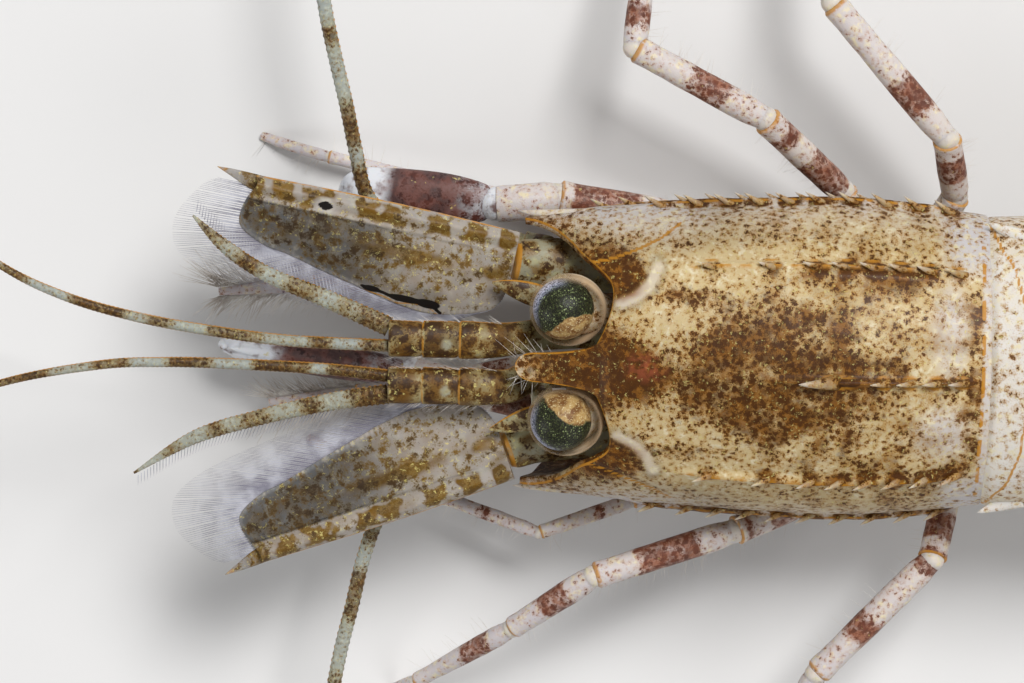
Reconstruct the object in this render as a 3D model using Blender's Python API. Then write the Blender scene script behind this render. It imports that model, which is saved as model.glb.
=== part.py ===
"""Sevenline shrimp, Sabinea septemcarinata, life size, standing on the floor.

The head points to -X, the animal's right side is +Y and up is +Z. x = 0 is under the tip of the
rostrum while the pieces are made, and the last step brings the middle of the base to the origin.
Everything is worked out in millimetres and turned into metres when a mesh is made.
"""
import math

import bmesh
import bpy
from mathutils import Vector
from mathutils.geometry import tessellate_polygon

MM = 0.001
GAP = 0.3                # clear space between pieces that meet
SIDES = ((1, "right"), (-1, "left"))
UP = Vector((0, 0, 1))
FORE_AND_AFT = Vector((1, 0, 0))

# Carapace: x, crest height, half width at the widest level, half width of the lower edge
CARAPACE = (
    (0.3, 9.9, 5.8, 4.6),
    (2.4, 11.0, 6.1, 4.75),
    (4.1, 12.15, 6.3, 4.9),
    (7.0, 12.9, 6.5, 5.1),
    (11.0, 13.3, 6.7, 5.2),
    (15.0, 13.3, 6.75, 5.2),
    (20.0, 12.7, 6.25, 4.9),
)
CARAPACE_END = 20.0
WIDEST_Z = 8.0
CARAPACE_FLOOR_Z = 4.6
WIDEST_AT = 0.62         # share of the way from crest to lower edge where the side is widest
ARCH = 1.8               # exponent of the round back: 2 is an ellipse
# x of the front edge, by share of the way from crest to lower edge and past it to the midline below
FRONT_EDGE = (
    (0.0, 3.2), (0.06, 3.3), (0.13, 3.75), (0.2, 4.05), (0.26, 4.0), (0.31, 3.4), (0.35, 2.8),
    (0.4, 2.3), (0.47, 1.6), (0.55, 0.8), (0.62, 0.3), (0.7, 0.8), (0.8, 1.2), (1.0, 2.4), (1.2, 3.4),
)
CARAPACE_SHARES = (
    0.0, 0.04, 0.1, 0.16, 0.22, 0.275, 0.31, 0.345, 0.4, 0.46, 0.53, 0.575, 0.6, 0.64, 0.71, 0.775,
    0.81, 0.845, 0.92, 1.0,
)
CARAPACE_REACHES = (0, 0.05, 0.12, 0.2, 0.3, 0.42, 0.54, 0.66, 0.78, 0.9, 0.97, 1)
FACE_X = 4.4             # flat front of the head, inside the carapace's rim
ROOT_X = FACE_X - GAP    # where eyes and feelers start
RIM = 0.65               # thickness of the carapace's edge
# Keels: share of the way down the side, height, first and last x of the keel
MEDIAN_KEEL = (0.0, 0.25, 10.0, 19.6)
SIDE_KEELS = ((0.31, 0.28, 6.5, 19.0), (0.6, 0.3, 4.5, 19.3), (0.81, 0.28, 2.8, 17.5))
MEDIAN_TEETH = (11.9, 14.9, 16.0, 17.1, 18.2)
SIDE_TEETH = (
    (7.6, 10.1, 12.0, 13.2, 14.4, 15.6, 16.8, 18.0),
    (5.4, 7.0, 8.3, 9.6, 10.9, 12.2, 13.6, 15.0, 16.4, 17.7),
    (3.1, 4.3, 5.4, 6.7, 8.0, 9.3, 10.6, 11.9, 13.2, 14.5),
)
TOOTH_LENGTH = 1.1
TOOTH_RADIUS = 0.3

# Rostrum: x, half width, height of the middle, half thickness
ROSTRUM = (
    (0.0, 0.3, 11.2, 0.22),
    (0.35, 0.52, 11.25, 0.28),
    (1.3, 0.58, 11.4, 0.32),
    (2.6, 0.66, 11.55, 0.34),
    (3.4, 1.0, 11.6, 0.36),
    (4.3, 1.7, 11.65, 0.4),
    (5.6, 2.2, 11.6, 0.5),
)

EYE = Vector((2.15, 2.45, 10.6))
EYE_RADIUS = 1.55

# Sternum, the plate between the legs
STERNUM_X = (5.6, 19.8)
STERNUM_HALF = (2.3, 3.2)
STERNUM_TOP = CARAPACE_FLOOR_Z - GAP
STERNUM_DEPTH = 1.4
STERNUM_DRAFT = 0.9      # how much narrower it is below than above
COXA = 0.55              # straight first stretch of each limb

# Short feelers, the antennules
ANTENNULE_MIDLINE = -0.22
ANTENNULE_APART = 1.01
ANTENNULE_END = -5.4
ANTENNULE_Z = 9.8
INNER_WHIP = {
    "right": ((-5.7, 0.27, 9.7), (-9.7, 0.6, 9.8), (-13.0, 1.0, 10.0), (-16.1, 1.55, 10.2),
              (-19.1, 2.4, 10.4), (-21.9, 3.75, 10.6), (-25.2, 6.3, 11.0)),
    "left": ((-5.7, -0.7, 9.7), (-8.1, -0.6, 9.8), (-12.2, -0.42, 10.0), (-15.0, -0.38, 10.2),
             (-17.7, -0.53, 10.4), (-21.8, -1.34, 10.7), (-26.0, -3.0, 11.0)),
}
INNER_WHIP_RADIUS = 0.27
OUTER_WHIP = {
    "right": ((-5.7, 1.32, 9.6), (-8.2, 2.45, 9.6), (-10.6, 3.4, 9.6), (-12.4, 4.55, 9.6), (-13.8, 5.85, 9.5)),
    "left": ((-5.7, -1.76, 9.6), (-8.0, -2.1, 9.6), (-10.8, -2.8, 9.6), (-13.6, -3.75, 9.5), (-16.2, -5.4, 9.4)),
}
OUTER_WHIP_RADIUS = 0.44
OUTER_WHIP_FLAT = 0.65

# Scale over each long feeler
SCALE_Z = 8.2
SCALE_THICK = 0.5
SCALE_BASE = {"right": (0.1, 5.2), "left": (0.1, -5.55)}
SCALE_SPLAY = {"right": 11.2, "left": 20.0}      # degrees outward from the body's line
SCALE_ROOT_WIDTH = 2.6
SCALE_LENGTH = 11.5
SCALE_SPINE = 13.2
# Blade's inner edge, and the tips of its fringe: how far along and across from the outer edge
SCALE_INNER = (
    (0.0, 2.6), (0.6, 3.6), (2.8, 4.25), (4.5, 4.15), (6.2, 3.8), (7.6, 3.5), (9.5, 3.05), (10.5, 2.9),
    (11.6, 2.4), (11.85, 1.8), (11.65, 0.9),
)
SCALE_FRINGE = (
    (0.5, 2.9), (1.6, 4.2), (3.9, 4.85), (5.6, 5.1), (7.3, 5.1), (9.7, 4.95), (11.3, 4.8), (13.2, 4.4),
    (14.3, 3.7), (14.5, 2.4), (13.7, 0.95),
)
FRINGE_BRISTLES = 20

# Long feelers: joints of the stalk under the scale, then the path of the whip
FEELER_STALK = {
    "right": ((1.6, 4.0, 6.7, 0.75), (0.3, 4.1, 6.45, 0.8), (-2.6, 4.4, 6.2, 0.72), (-5.3, 4.9, 6.2, 0.5)),
    "left": ((1.6, -4.0, 6.7, 0.75), (0.3, -4.2, 6.45, 0.8), (-2.4, -5.0, 6.2, 0.72), (-4.9, -6.3, 6.2, 0.5)),
}
FEELER = {
    "right": ((-6.5, 6.3, 6.2), (-7.5, 10.4, 6.2), (-8.5, 14.8, 6.3), (-9.0, 20.0, 6.5), (-8.2, 26.0, 6.9),
              (-5.4, 32.0, 7.3), (-0.6, 37.2, 7.6), (5.6, 41.0, 7.6), (13.0, 43.6, 7.2), (21.0, 45.2, 6.4),
              (29.0, 46.0, 5.4)),
    "left": ((-6.1, -8.6, 6.2), (-6.9, -12.0, 6.2), (-7.6, -15.4, 6.3), (-8.0, -20.4, 6.6), (-7.0, -26.4, 7.0),
             (-4.0, -32.2, 7.4), (1.0, -37.2, 7.7), (7.4, -40.8, 7.7), (15.0, -43.0, 7.3), (23.0, -44.2, 6.5),
             (31.0, -44.6, 5.5)),
}
FEELER_RADIUS = 0.32

# Limbs: x, y, z and radius at each joint, after the straight stretch at the sternum
LIMB_ROOT_X = {"maxilliped": 6.6, "claw": 8.4, "leg2": 10.4, "leg3": 12.3, "leg4": 14.7, "leg5": 17.4}
MAXILLIPED = {
    "right": ((5.3, 1.9, 2.1, 0.55), (1.0, 1.95, 2.0, 0.5), (-4.0, 1.9, 2.1, 0.46), (-9.0, 1.7, 2.3, 0.4),
              (-13.0, 1.3, 2.6, 0.16)),
    "left": ((5.0, -1.8, 1.7, 0.55), (1.0, -1.9, 1.25, 0.5), (-3.0, -2.7, 1.15, 0.46), (-7.0, -3.4, 1.25, 0.4),
             (-10.8, -3.8, 1.5, 0.16)),
}
CLAW_ARM = {
    "right": ((8.2, 4.5, 3.1, 0.7), (6.8, 5.2, 3.1, 0.65), (1.7, 5.9, 3.5, 0.75), (-0.9, 5.65, 3.8, 0.78)),
    "left": ((7.4, -4.3, 3.0, 0.7), (5.6, -4.4, 3.0, 0.65), (-1.7, -2.7, 3.4, 0.72), (-4.4, -2.0, 3.5, 0.75)),
}
CLAW_TIP = {"right": (-7.6, 6.1, 3.4), "left": (-12.7, -0.85, 3.3)}
HAND = {"right": (1.15, 0.7), "left": (1.05, 0.75)}   # half width and half thickness
HAND_TURN = {"right": 0.0, "left": 90.0}              # degrees the hand is rolled on its own line
HAND_SHAPE = ((0, 0.62), (0.1, 0.8), (0.3, 0.97), (0.55, 1.0), (0.75, 0.93), (0.88, 0.72), (1.0, 0.28))
LEG2 = {
    "right": ((10.2, 3.5, 2.0, 0.45), (9.2, 3.6, 1.5, 0.4), (6.2, 3.5, 1.2, 0.36), (3.2, 3.3, 1.4, 0.3),
              (1.9, 3.1, 1.6, 0.14)),
    "left": ((9.9, -4.0, 2.2, 0.45), (8.9, -4.3, 1.6, 0.4), (5.8, -4.9, 1.15, 0.36), (3.0, -4.7, 1.35, 0.3),
             (1.7, -4.5, 1.6, 0.14)),
}
# Walking legs are parted at the fourth of these joints, the knee
KNEE = 3
LEG3 = {
    "right": ((12.2, 4.4, 2.3, 0.45), (10.4, 4.8, 1.4, 0.36), (4.8, 5.2, 1.25, 0.34), (-0.4, 5.6, 1.5, 0.3),
              (-4.4, 6.3, 1.3, 0.28), (-8.4, 7.1, 0.9, 0.27), (-11.3, 7.8, 0.0, 0.2)),
    "left": ((12.1, -4.7, 2.8, 0.5), (9.4, -6.1, 3.5, 0.36), (5.2, -7.3, 4.2, 0.34), (1.2, -8.7, 4.7, 0.3),
             (-3.0, -7.5, 3.4, 0.28), (-6.9, -6.3, 1.9, 0.27), (-9.0, -5.7, 0.0, 0.2)),
}
LEG4 = {
    "right": ((14.6, 4.7, 3.3, 0.68), (14.0, 6.6, 4.2, 0.6), (10.5, 10.0, 6.2, 0.6), (4.8, 13.0, 6.4, 0.55),
              (5.2, 16.6, 4.9, 0.47), (6.0, 21.6, 1.6, 0.33), (6.2, 22.9, 0.0, 0.22)),
    "left": ((14.8, -5.0, 3.3, 0.68), (12.6, -7.2, 4.3, 0.6), (9.7, -8.2, 5.7, 0.6), (3.6, -10.2, 6.4, 0.55),
             (0.1, -13.0, 4.8, 0.47), (-4.1, -16.2, 1.9, 0.33), (-5.1, -17.0, 0.0, 0.22)),
}
LEG5 = {
    "right": ((18.1, 4.7, 3.2, 0.65), (18.9, 6.5, 4.1, 0.6), (18.3, 9.3, 6.1, 0.6), (13.2, 15.1, 6.2, 0.55),
              (12.4, 18.6, 4.8, 0.47), (12.2, 23.6, 1.6, 0.33), (12.3, 24.9, 0.0, 0.22)),
    "left": ((18.2, -4.7, 3.2, 0.65), (19.0, -6.7, 4.1, 0.6), (18.3, -9.2, 6.0, 0.6), (13.4, -14.4, 6.2, 0.55),
             (12.2, -17.8, 4.8, 0.47), (11.6, -22.8, 1.6, 0.33), (11.6, -24.1, 0.0, 0.22)),
}
MAXILLIPED_BRISTLES = 9      # on each edge
BRISTLE_LENGTH = {"right": 2.4, "left": 2.1}

# Abdomen at each boundary: x, crest, half width, height of the widest level, lower edge, rise of the belly
ABDOMEN = (
    (20.3, 12.5, 6.2, 8.2, 4.9, 1.3),
    (26.5, 12.9, 6.15, 8.2, 4.2, 1.3),
    (35.0, 13.0, 5.8, 8.0, 3.6, 1.3),
    (44.0, 12.3, 5.15, 7.6, 3.2, 1.3),
    (51.5, 10.8, 4.45, 6.8, 2.7, 1.2),
    (58.5, 8.9, 3.75, 5.6, 2.2, 0.8),
    (69.0, 5.5, 2.8, 3.7, 1.5, 0.2),
)
ABDOMEN_SHARES = (0.0, 0.05, 0.15, 0.2, 0.27, 0.39, 0.51, 0.62, 0.7, 0.79, 0.88, 0.95, 1.0)
SEGMENTS = 6
# How far the side plates lean at each boundary: the second segment's lie over its neighbours'
PLEURA_LEAN = (0.0, -1.3, 1.1, 0.5, 0.4, 0.3, 0.0)
PLEURA_RISE = 0.9        # how much higher a side plate's corners are than its middle
PLEURA_THICK = 0.6
# Keel of each segment: share of the way down where it stands, and its height
ABDOMEN_KEELS = ((0.0, 0.0), (0.0, 0.15), (0.0, 0.22), (0.0, 0.24), (0.0, 0.2), (0.15, 0.2))

SWIMMERET_LENGTH = (4.3, 4.8, 4.8, 4.3, 3.8)
SWIMMERET_WIDTH = 2.2
SWIMMERET_DROP = 1.7

# Telson: x, half width, height of the middle, half thickness
TELSON = (
    (69.3, 1.7, 4.2, 0.75),
    (72.5, 1.6, 3.4, 0.62),
    (76.5, 1.15, 2.7, 0.45),
    (80.0, 0.75, 2.35, 0.34),
    (82.6, 0.42, 2.2, 0.26),
)
FAN_ROOT_X = 69.3
FAN_BLOCK_END = 71.0
FAN_THICK = 0.5
FAN_LENGTH = 10.6
OUTER_WIDTH = 4.0
OUTER_SPLAY = 27.0
INNER_WIDTH = 2.9
INNER_SPLAY = 13.0
# Width of a paddle or tail blade along its length, as a share of its full width
LEAF_SHAPE = ((0.0, 0.3), (0.12, 0.58), (0.3, 0.86), (0.55, 1.0), (0.78, 0.94), (0.92, 0.68), (1.0, 0.3))

COLOURS = {
    "shell": ((0.62, 0.48, 0.30), 0.35),
    "limb": ((0.66, 0.50, 0.42), 0.4),
    "clear": ((0.55, 0.50, 0.44), 0.25),
    "eye": ((0.05, 0.08, 0.05), 0.12),
}


def material(name):
    """The Principled material of that name, made once."""
    found = bpy.data.materials.get(name)
    if found:
        return found
    colour, roughness = COLOURS[name]
    made = bpy.data.materials.new(name)
    made.use_nodes = True
    shader = made.node_tree.nodes["Principled BSDF"]
    shader.inputs["Base Color"].default_value = (*colour, 1)
    shader.inputs["Roughness"].default_value = roughness
    shader.inputs["Metallic"].default_value = 0.0
    return made


def new_object(name, points, faces, slot):
    """A closed mesh object from points in millimetres and faces, with its normals turned outward."""
    mesh = bpy.data.meshes.new(name)
    mesh.from_pydata([tuple(Vector(p) * MM) for p in points], [], faces)
    shape = bmesh.new()
    shape.from_mesh(mesh)
    bmesh.ops.recalc_face_normals(shape, faces=shape.faces)
    if shape.calc_volume(signed=True) < 0:
        bmesh.ops.reverse_faces(shape, faces=shape.faces)
    shape.to_mesh(mesh)
    shape.free()
    mesh.materials.append(material(slot))
    made = bpy.data.objects.new(name, mesh)
    bpy.context.scene.collection.objects.link(made)
    return made


def curve(before, a, b, after, t, slope_a=0.5, slope_b=0.5):
    """A point between a and b on a smooth curve that also heeds the points before and after them."""
    leave = (b - before) * slope_a
    arrive = (after - a) * slope_b
    return (a * (2 * t**3 - 3 * t**2 + 1) + leave * (t**3 - 2 * t**2 + t)
            + b * (3 * t**2 - 2 * t**3) + arrive * (t**3 - t**2))


def between(table, x):
    """The values of a table at x, on a smooth curve through its rows. The first column is x."""
    rows = [Vector(row) for row in table]
    last = len(rows) - 1
    x = min(max(x, rows[0][0]), rows[last][0])
    i = max(k for k in range(last) if rows[k][0] <= x)
    a, b = rows[i], rows[i + 1]
    before, after = rows[max(i - 1, 0)], rows[min(i + 2, last)]
    span = b[0] - a[0]
    slopes = span / (b[0] - before[0]), span / (after[0] - a[0])
    return curve(before, a, b, after, (x - a[0]) / span, *slopes)[1:]


def straight(table, x):
    """One value of a two-column table at x, in straight lines between its rows."""
    for (x0, v0), (x1, v1) in zip(table, table[1:]):
        if x <= x1:
            return v0 + (v1 - v0) * max(0.0, x - x0) / (x1 - x0)
    return table[-1][1]


def smooth_path(points, step):
    """Points at about equal steps on a smooth curve through the given points."""
    rows = [Vector(p) for p in points]
    last = len(rows) - 1
    made = []
    for i in range(last):
        before, after = rows[max(i - 1, 0)], rows[min(i + 2, last)]
        count = max(1, round((rows[i + 1] - rows[i]).length / step))
        made += [curve(before, rows[i], rows[i + 1], after, k / count) for k in range(count)]
    return made + [rows[last]]


def band_faces(first, second, count):
    """Triangles between two rings of points that start at those indices."""
    faces = []
    for i in range(count):
        j = (i + 1) % count
        faces.append((first + i, first + j, second + j))
        faces.append((first + i, second + j, second + i))
    return faces


def loft(name, rings, slot):
    """A closed surface through rings of equally many points, with flat ends square to x."""
    points = [Vector(p) for ring in rings for p in ring]
    count = len(rings[0])
    faces = []
    for r in range(len(rings) - 1):
        faces += band_faces(r * count, (r + 1) * count, count)
    for start in (0, (len(rings) - 1) * count):
        outline = [Vector((points[start + i].y, points[start + i].z, 0)) for i in range(count)]
        faces += [tuple(start + i for i in triangle) for triangle in tessellate_polygon([outline])]
    return new_object(name, points, faces, slot)


def ring_at(centre, along, half_width, half_height, sides, up=UP):
    """An oval ring of points round a centre, square to the direction along."""
    across = along.cross(up).normalized()
    over = across.cross(along).normalized()
    turns = [2 * math.pi * (i + 0.5) / sides for i in range(sides)]
    return [centre + across * half_width * math.cos(t) + over * half_height * math.sin(t) for t in turns]


def seat(ring, along, plane):
    """Slides each point of a ring along a direction until it lies in a plane, given by a point and its normal."""
    point, normal = plane
    return [p + along * ((point - p).dot(normal) / along.dot(normal)) for p in ring]


def fan_faces(start, count, hub):
    return [(start + i, start + (i + 1) % count, hub) for i in range(count)]


def tube(name, joints, slot, sides=8, flat=1.0, start=None, end=None, up=UP):
    """A limb through joints (x, y, z, radius). flat is its height as a share of its width.

    start and end are planes, each a point and a normal, that the ends of the limb lie in.
    """
    centres = [Vector(joint[:3]) for joint in joints]
    rings = []
    for i, joint in enumerate(joints):
        ahead = centres[min(i + 1, len(centres) - 1)] - centres[max(i - 1, 0)]
        rings.append(ring_at(centres[i], ahead.normalized(), joint[3], joint[3] * flat, sides, up))
    if start:
        rings[0] = seat(rings[0], (centres[1] - centres[0]).normalized(), start)
    if end:
        rings[-1] = seat(rings[-1], (centres[-1] - centres[-2]).normalized(), end)
    points = [p for ring in rings for p in ring]
    faces = []
    for r in range(len(rings) - 1):
        faces += band_faces(r * sides, (r + 1) * sides, sides)
    for ring, first in ((rings[0], 0), (rings[-1], (len(rings) - 1) * sides)):
        points.append(sum(ring, Vector()) / sides)
        faces += fan_faces(first, sides, len(points) - 1)
    return new_object(name, points, faces, slot)


def spine(base, tip, radius, slot, sides=5, flat=1.0):
    """A pointed cone from base to tip, to be sunk into a shell. The base is the middle of its round end."""
    base, tip = Vector(base), Vector(tip)
    ring = ring_at(base, (tip - base).normalized(), radius, radius * flat, sides)
    faces = fan_faces(0, sides, sides) + fan_faces(0, sides, sides + 1)
    return new_object("spine", [*ring, base, tip], faces, slot)


def slab(name, grid, halves, slot, normal=UP):
    """A thin plate round a grid of middle points, split into triangles alike on both faces."""
    rows, columns = len(grid), len(grid[0])
    lifts = [(Vector(p), normal * h) for line, level in zip(grid, halves) for p, h in zip(line, level)]
    points = [p + lift for p, lift in lifts] + [p - lift for p, lift in lifts]
    below = rows * columns
    faces = []
    for i in range(rows - 1):
        for j in range(columns - 1):
            a, b = i * columns + j, i * columns + j + 1
            c, d = b + columns, a + columns
            for triangle in ((a, b, c), (a, c, d)):
                faces.append(triangle)
                faces.append(tuple(below + k for k in reversed(triangle)))
    edge = list(range(columns))
    edge += [i * columns + columns - 1 for i in range(1, rows)]
    edge += [(rows - 1) * columns + j for j in range(columns - 2, -1, -1)]
    edge += [i * columns for i in range(rows - 2, 0, -1)]
    for a, b in zip(edge, edge[1:] + edge[:1]):
        faces += [(a, below + a, below + b), (a, below + b, b)]
    return new_object(name, points, faces, slot)


def applied(target):
    """Turns an object's modifiers into its mesh."""
    graph = bpy.context.evaluated_depsgraph_get()
    mesh = bpy.data.meshes.new_from_object(target.evaluated_get(graph))
    target.modifiers.clear()
    target.data = mesh


def keep_largest(target):
    """Drops all of a mesh but its largest closed surface."""
    shape = bmesh.new()
    shape.from_mesh(target.data)
    left = set(shape.verts)
    islands = []
    while left:
        island, edge = set(), [left.pop()]
        while edge:
            vertex = edge.pop()
            island.add(vertex)
            near = {e.other_vert(vertex) for e in vertex.link_edges} - island
            edge += near
            left -= near
            island |= near
        islands.append(island)
    for island in sorted(islands, key=len)[:-1]:
        bmesh.ops.delete(shape, geom=list(island), context="VERTS")
    shape.to_mesh(target.data)
    shape.free()


def fuse(target, pieces):
    """Joins closed pieces to the target with one Boolean union, and removes them."""
    group = bpy.data.collections.new("pieces")
    bpy.context.scene.collection.children.link(group)
    for piece in pieces:
        bpy.context.scene.collection.objects.unlink(piece)
        group.objects.link(piece)
    join = target.modifiers.new("join", "BOOLEAN")
    join.operation = "UNION"
    join.operand_type = "COLLECTION"
    join.collection = group
    join.solver = "MANIFOLD"
    applied(target)
    for piece in pieces:
        bpy.data.objects.remove(piece)
    bpy.data.collections.remove(group)
    keep_largest(target)
    return target


def side_point(x, share, lift=0.0):
    """A point of the carapace's right side, share 0 on the crest to 1 on the lower edge, lifted off it."""
    crest, half, foot = between(CARAPACE, x)
    rise = crest - WIDEST_Z
    if share <= WIDEST_AT:
        turn = share / WIDEST_AT * math.pi / 2
        y = half * math.sin(turn) ** (2 / ARCH)
        z = WIDEST_Z + rise * math.cos(turn) ** (2 / ARCH)
        out = Vector((0, math.sin(turn) / half, math.cos(turn) / rise)).normalized()
    else:
        turn = (share - WIDEST_AT) / (1 - WIDEST_AT) * math.pi / 2
        y = foot + (half - foot) * math.cos(turn)
        z = WIDEST_Z - (WIDEST_Z - CARAPACE_FLOOR_Z) * math.sin(turn)
        out = Vector((0, math.cos(turn), -math.sin(turn) * 0.35)).normalized()
    return Vector((x, y, z)) + out * lift


def keel_lift(x, share):
    """Height of the keels over the carapace at that place."""
    for at, height, first, last in (MEDIAN_KEEL, *SIDE_KEELS):
        if abs(share - at) < 0.012:
            rise = min(1.0, max(0.0, (x - first) / 2.0))
            fall = min(1.0, max(0.0, last - x))
            return height * rise * fall
    return 0.0


def mirrored_ring(half):
    """A whole ring from its right half, which starts and ends on the midline."""
    return half + [Vector((p.x, -p.y, p.z)) for p in reversed(half[1:-1])]


def carapace_ring(reach, inset=0.0, flat_x=None):
    """A ring of the carapace. reach runs from 0 at the front edge to 1 at the rear."""
    half = []
    for share in CARAPACE_SHARES:
        front = straight(FRONT_EDGE, share)
        x = front + (CARAPACE_END - front) * reach
        half.append(side_point(x, share, 0.0 if inset else keel_lift(x, share)))
    for part in (0.5, 0.0):
        front = straight(FRONT_EDGE, 1.2 - 0.2 * part)
        x = front + (CARAPACE_END - front) * reach
        half.append(Vector((x, between(CARAPACE, x)[2] * part, CARAPACE_FLOOR_Z)))
    for point in half:
        inward = Vector((0, -point.y, WIDEST_Z - point.z))
        point += inward.normalized() * inset
        if flat_x is not None:
            point.x = flat_x
    return mirrored_ring(half)


def keel_tooth(x, share, side, height, size=1.0):
    """One forward tooth on a keel of the carapace. x is its tip."""
    tip = side_point(x, share, height + 0.3 * size)
    root = side_point(x + TOOTH_LENGTH * size, share, -0.12)
    for point in (tip, root):
        point.y *= side
    return spine(root, tip, TOOTH_RADIUS * size, "shell", 4)


def rostrum():
    """The short blunt tongue between the eyes."""
    section = ((1, 0.9), (0.55, 0.55), (-0.55, 0.55), (-1, 0.9), (-1.02, 0), (-0.5, -0.9), (0.5, -0.9), (1.02, 0))
    rings = []
    for x, half, z, thick in ROSTRUM:
        rings.append([Vector((x, half * u, z + thick * v)) for u, v in section])
    return loft("rostrum", rings, "shell")


def carapace():
    """The shield over head and chest, with its recessed front, rostrum, keels and teeth."""
    rings = [carapace_ring(0.0, RIM + 0.1, FACE_X), carapace_ring(0.0, RIM)]
    rings += [carapace_ring(reach) for reach in CARAPACE_REACHES]
    shell = loft("carapace", rings, "shell")
    pieces = [rostrum()]
    for x in MEDIAN_TEETH:
        pieces.append(keel_tooth(x, 0.0, 1, MEDIAN_KEEL[1], 1.5 if x == MEDIAN_TEETH[0] else 1.0))
    for side, _ in SIDES:
        for (share, height, _, _), places in zip(SIDE_KEELS, SIDE_TEETH):
            pieces += [keel_tooth(x, share, side, height) for x in places]
        pieces.append(spine((3.0, side * 5.75, 7.8), (0.0, side * 6.0, 7.5), 0.5, "shell", 6))
    return fuse(shell, pieces)


def eye(side, name):
    """A round eye on its short stalk."""
    mesh = bpy.data.meshes.new("eye_" + name)
    shape = bmesh.new()
    bmesh.ops.create_uvsphere(shape, u_segments=16, v_segments=10, radius=EYE_RADIUS * MM)
    bmesh.ops.translate(shape, verts=shape.verts, vec=Vector((EYE.x, EYE.y * side, EYE.z)) * MM)
    shape.to_mesh(mesh)
    shape.free()
    mesh.materials.append(material("eye"))
    ball = bpy.data.objects.new("eye_" + name, mesh)
    bpy.context.scene.collection.objects.link(ball)
    joints = ((2.2, side * 2.3, 10.0, 0.9), (3.3, side * 2.0, 9.75, 0.8), (ROOT_X, side * 1.85, 9.65, 0.75))
    return fuse(ball, [tube("stalk", joints, "clear", end=(Vector((ROOT_X, 0, 0)), FORE_AND_AFT))])


def antennule(side, name):
    """The three-jointed stalk of the short feelers."""
    middle = ANTENNULE_MIDLINE + side * ANTENNULE_APART
    near = side * 0.85
    joints = (
        (ROOT_X, near, 8.0, 0.62), (2.6, near, 8.1, 0.66), (0.9, near, 8.7, 0.68), (-0.2, middle, 9.4, 0.72),
        (-1.2, middle, ANTENNULE_Z, 0.78), (-2.25, middle, ANTENNULE_Z, 0.8), (-2.45, middle, ANTENNULE_Z, 0.7),
        (-2.65, middle, ANTENNULE_Z, 0.78), (-3.8, middle, ANTENNULE_Z, 0.78), (-4.0, middle, ANTENNULE_Z, 0.66),
        (-4.2, middle, ANTENNULE_Z, 0.74), (ANTENNULE_END, middle, ANTENNULE_Z, 0.76),
    )
    root = (Vector((ROOT_X, 0, 0)), FORE_AND_AFT)
    end = (Vector((ANTENNULE_END, 0, 0)), FORE_AND_AFT)
    return tube("antennule_" + name, joints, "limb", 10, 0.75, root, end)


def tapered(path, step, radius, tip):
    """Joints along a smooth path. The radius shrinks slowly and then fast to the tip's share of it."""
    centres = smooth_path(path, step)
    joints = []
    for i, centre in enumerate(centres):
        share = i / (len(centres) - 1)
        thin = 1 - 0.2 * share if share < 0.7 else 0.86 - (0.86 - tip) * (share - 0.7) / 0.3
        joints.append((*centre, radius * thin))
    return joints


def antennule_whips(name):
    """The two whips at the end of an antennule: the inner one is thin, the outer one flat and stout."""
    plane = (Vector((ANTENNULE_END - GAP, 0, 0)), FORE_AND_AFT)
    inner = tapered(INNER_WHIP[name], 1.6, INNER_WHIP_RADIUS, 0.4)
    tube("inner_whip_" + name, inner, "limb", 6, 1.0, plane)
    outer = tapered(OUTER_WHIP[name], 1.2, OUTER_WHIP_RADIUS, 0.3)
    tube("outer_whip_" + name, outer, "limb", 8, OUTER_WHIP_FLAT, plane)


def scale_axes(name, side):
    """Directions along a scale, toward its tip, and across it, toward the midline."""
    splay = math.radians(SCALE_SPLAY[name])
    along = Vector((-math.cos(splay), side * math.sin(splay), 0))
    across = Vector((-math.sin(splay), -side * math.cos(splay), 0))
    return along, across


def scale_place(name, side, reach, width, z=SCALE_Z):
    """A point of the antenna scale, from its own length and width."""
    along, across = scale_axes(name, side)
    return Vector((*SCALE_BASE[name], z)) + along * reach + across * width


def antenna_scale(side, name):
    """The broad blade over the long feeler, with its fringe of bristles and its outer spine."""
    columns = 2 * FRINGE_BRISTLES + 1
    inner = smooth_path([(a, c, 0) for a, c in SCALE_INNER], 0.2)
    fringe = smooth_path([(a, c, 0) for a, c in SCALE_FRINGE], 0.2)
    thin = SCALE_THICK / 2
    grid, halves = [], []
    for i in range(columns):
        t = i / (columns - 1)
        edge = inner[round(t * (len(inner) - 1))]
        far = fringe[round(t * (len(fringe) - 1))]
        outer = Vector((SCALE_LENGTH * t, -0.1 * math.sin(math.pi * t), 0))
        bristle = i % 2
        tip = far if bristle else edge.lerp(far, 0.68)
        line = (outer, outer.lerp(edge, 0.12), outer.lerp(edge, 0.55), edge, tip)
        domes = (0.0, 0.14, 0.2, 0.0, -0.05)
        grid.append([scale_place(name, side, p.x, p.y, SCALE_Z + dome) for p, dome in zip(line, domes)])
        halves.append([thin * 1.1, thin * 1.2, thin, thin, thin * 0.6])
    blade = slab("antenna_scale_" + name, grid, halves, "clear")
    root = scale_place(name, side, SCALE_LENGTH - 2.2, 0.25)
    tip = scale_place(name, side, SCALE_SPINE, 0.0)
    return fuse(blade, [spine(root, tip, 0.4, "clear", 6, 0.62)])


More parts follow.
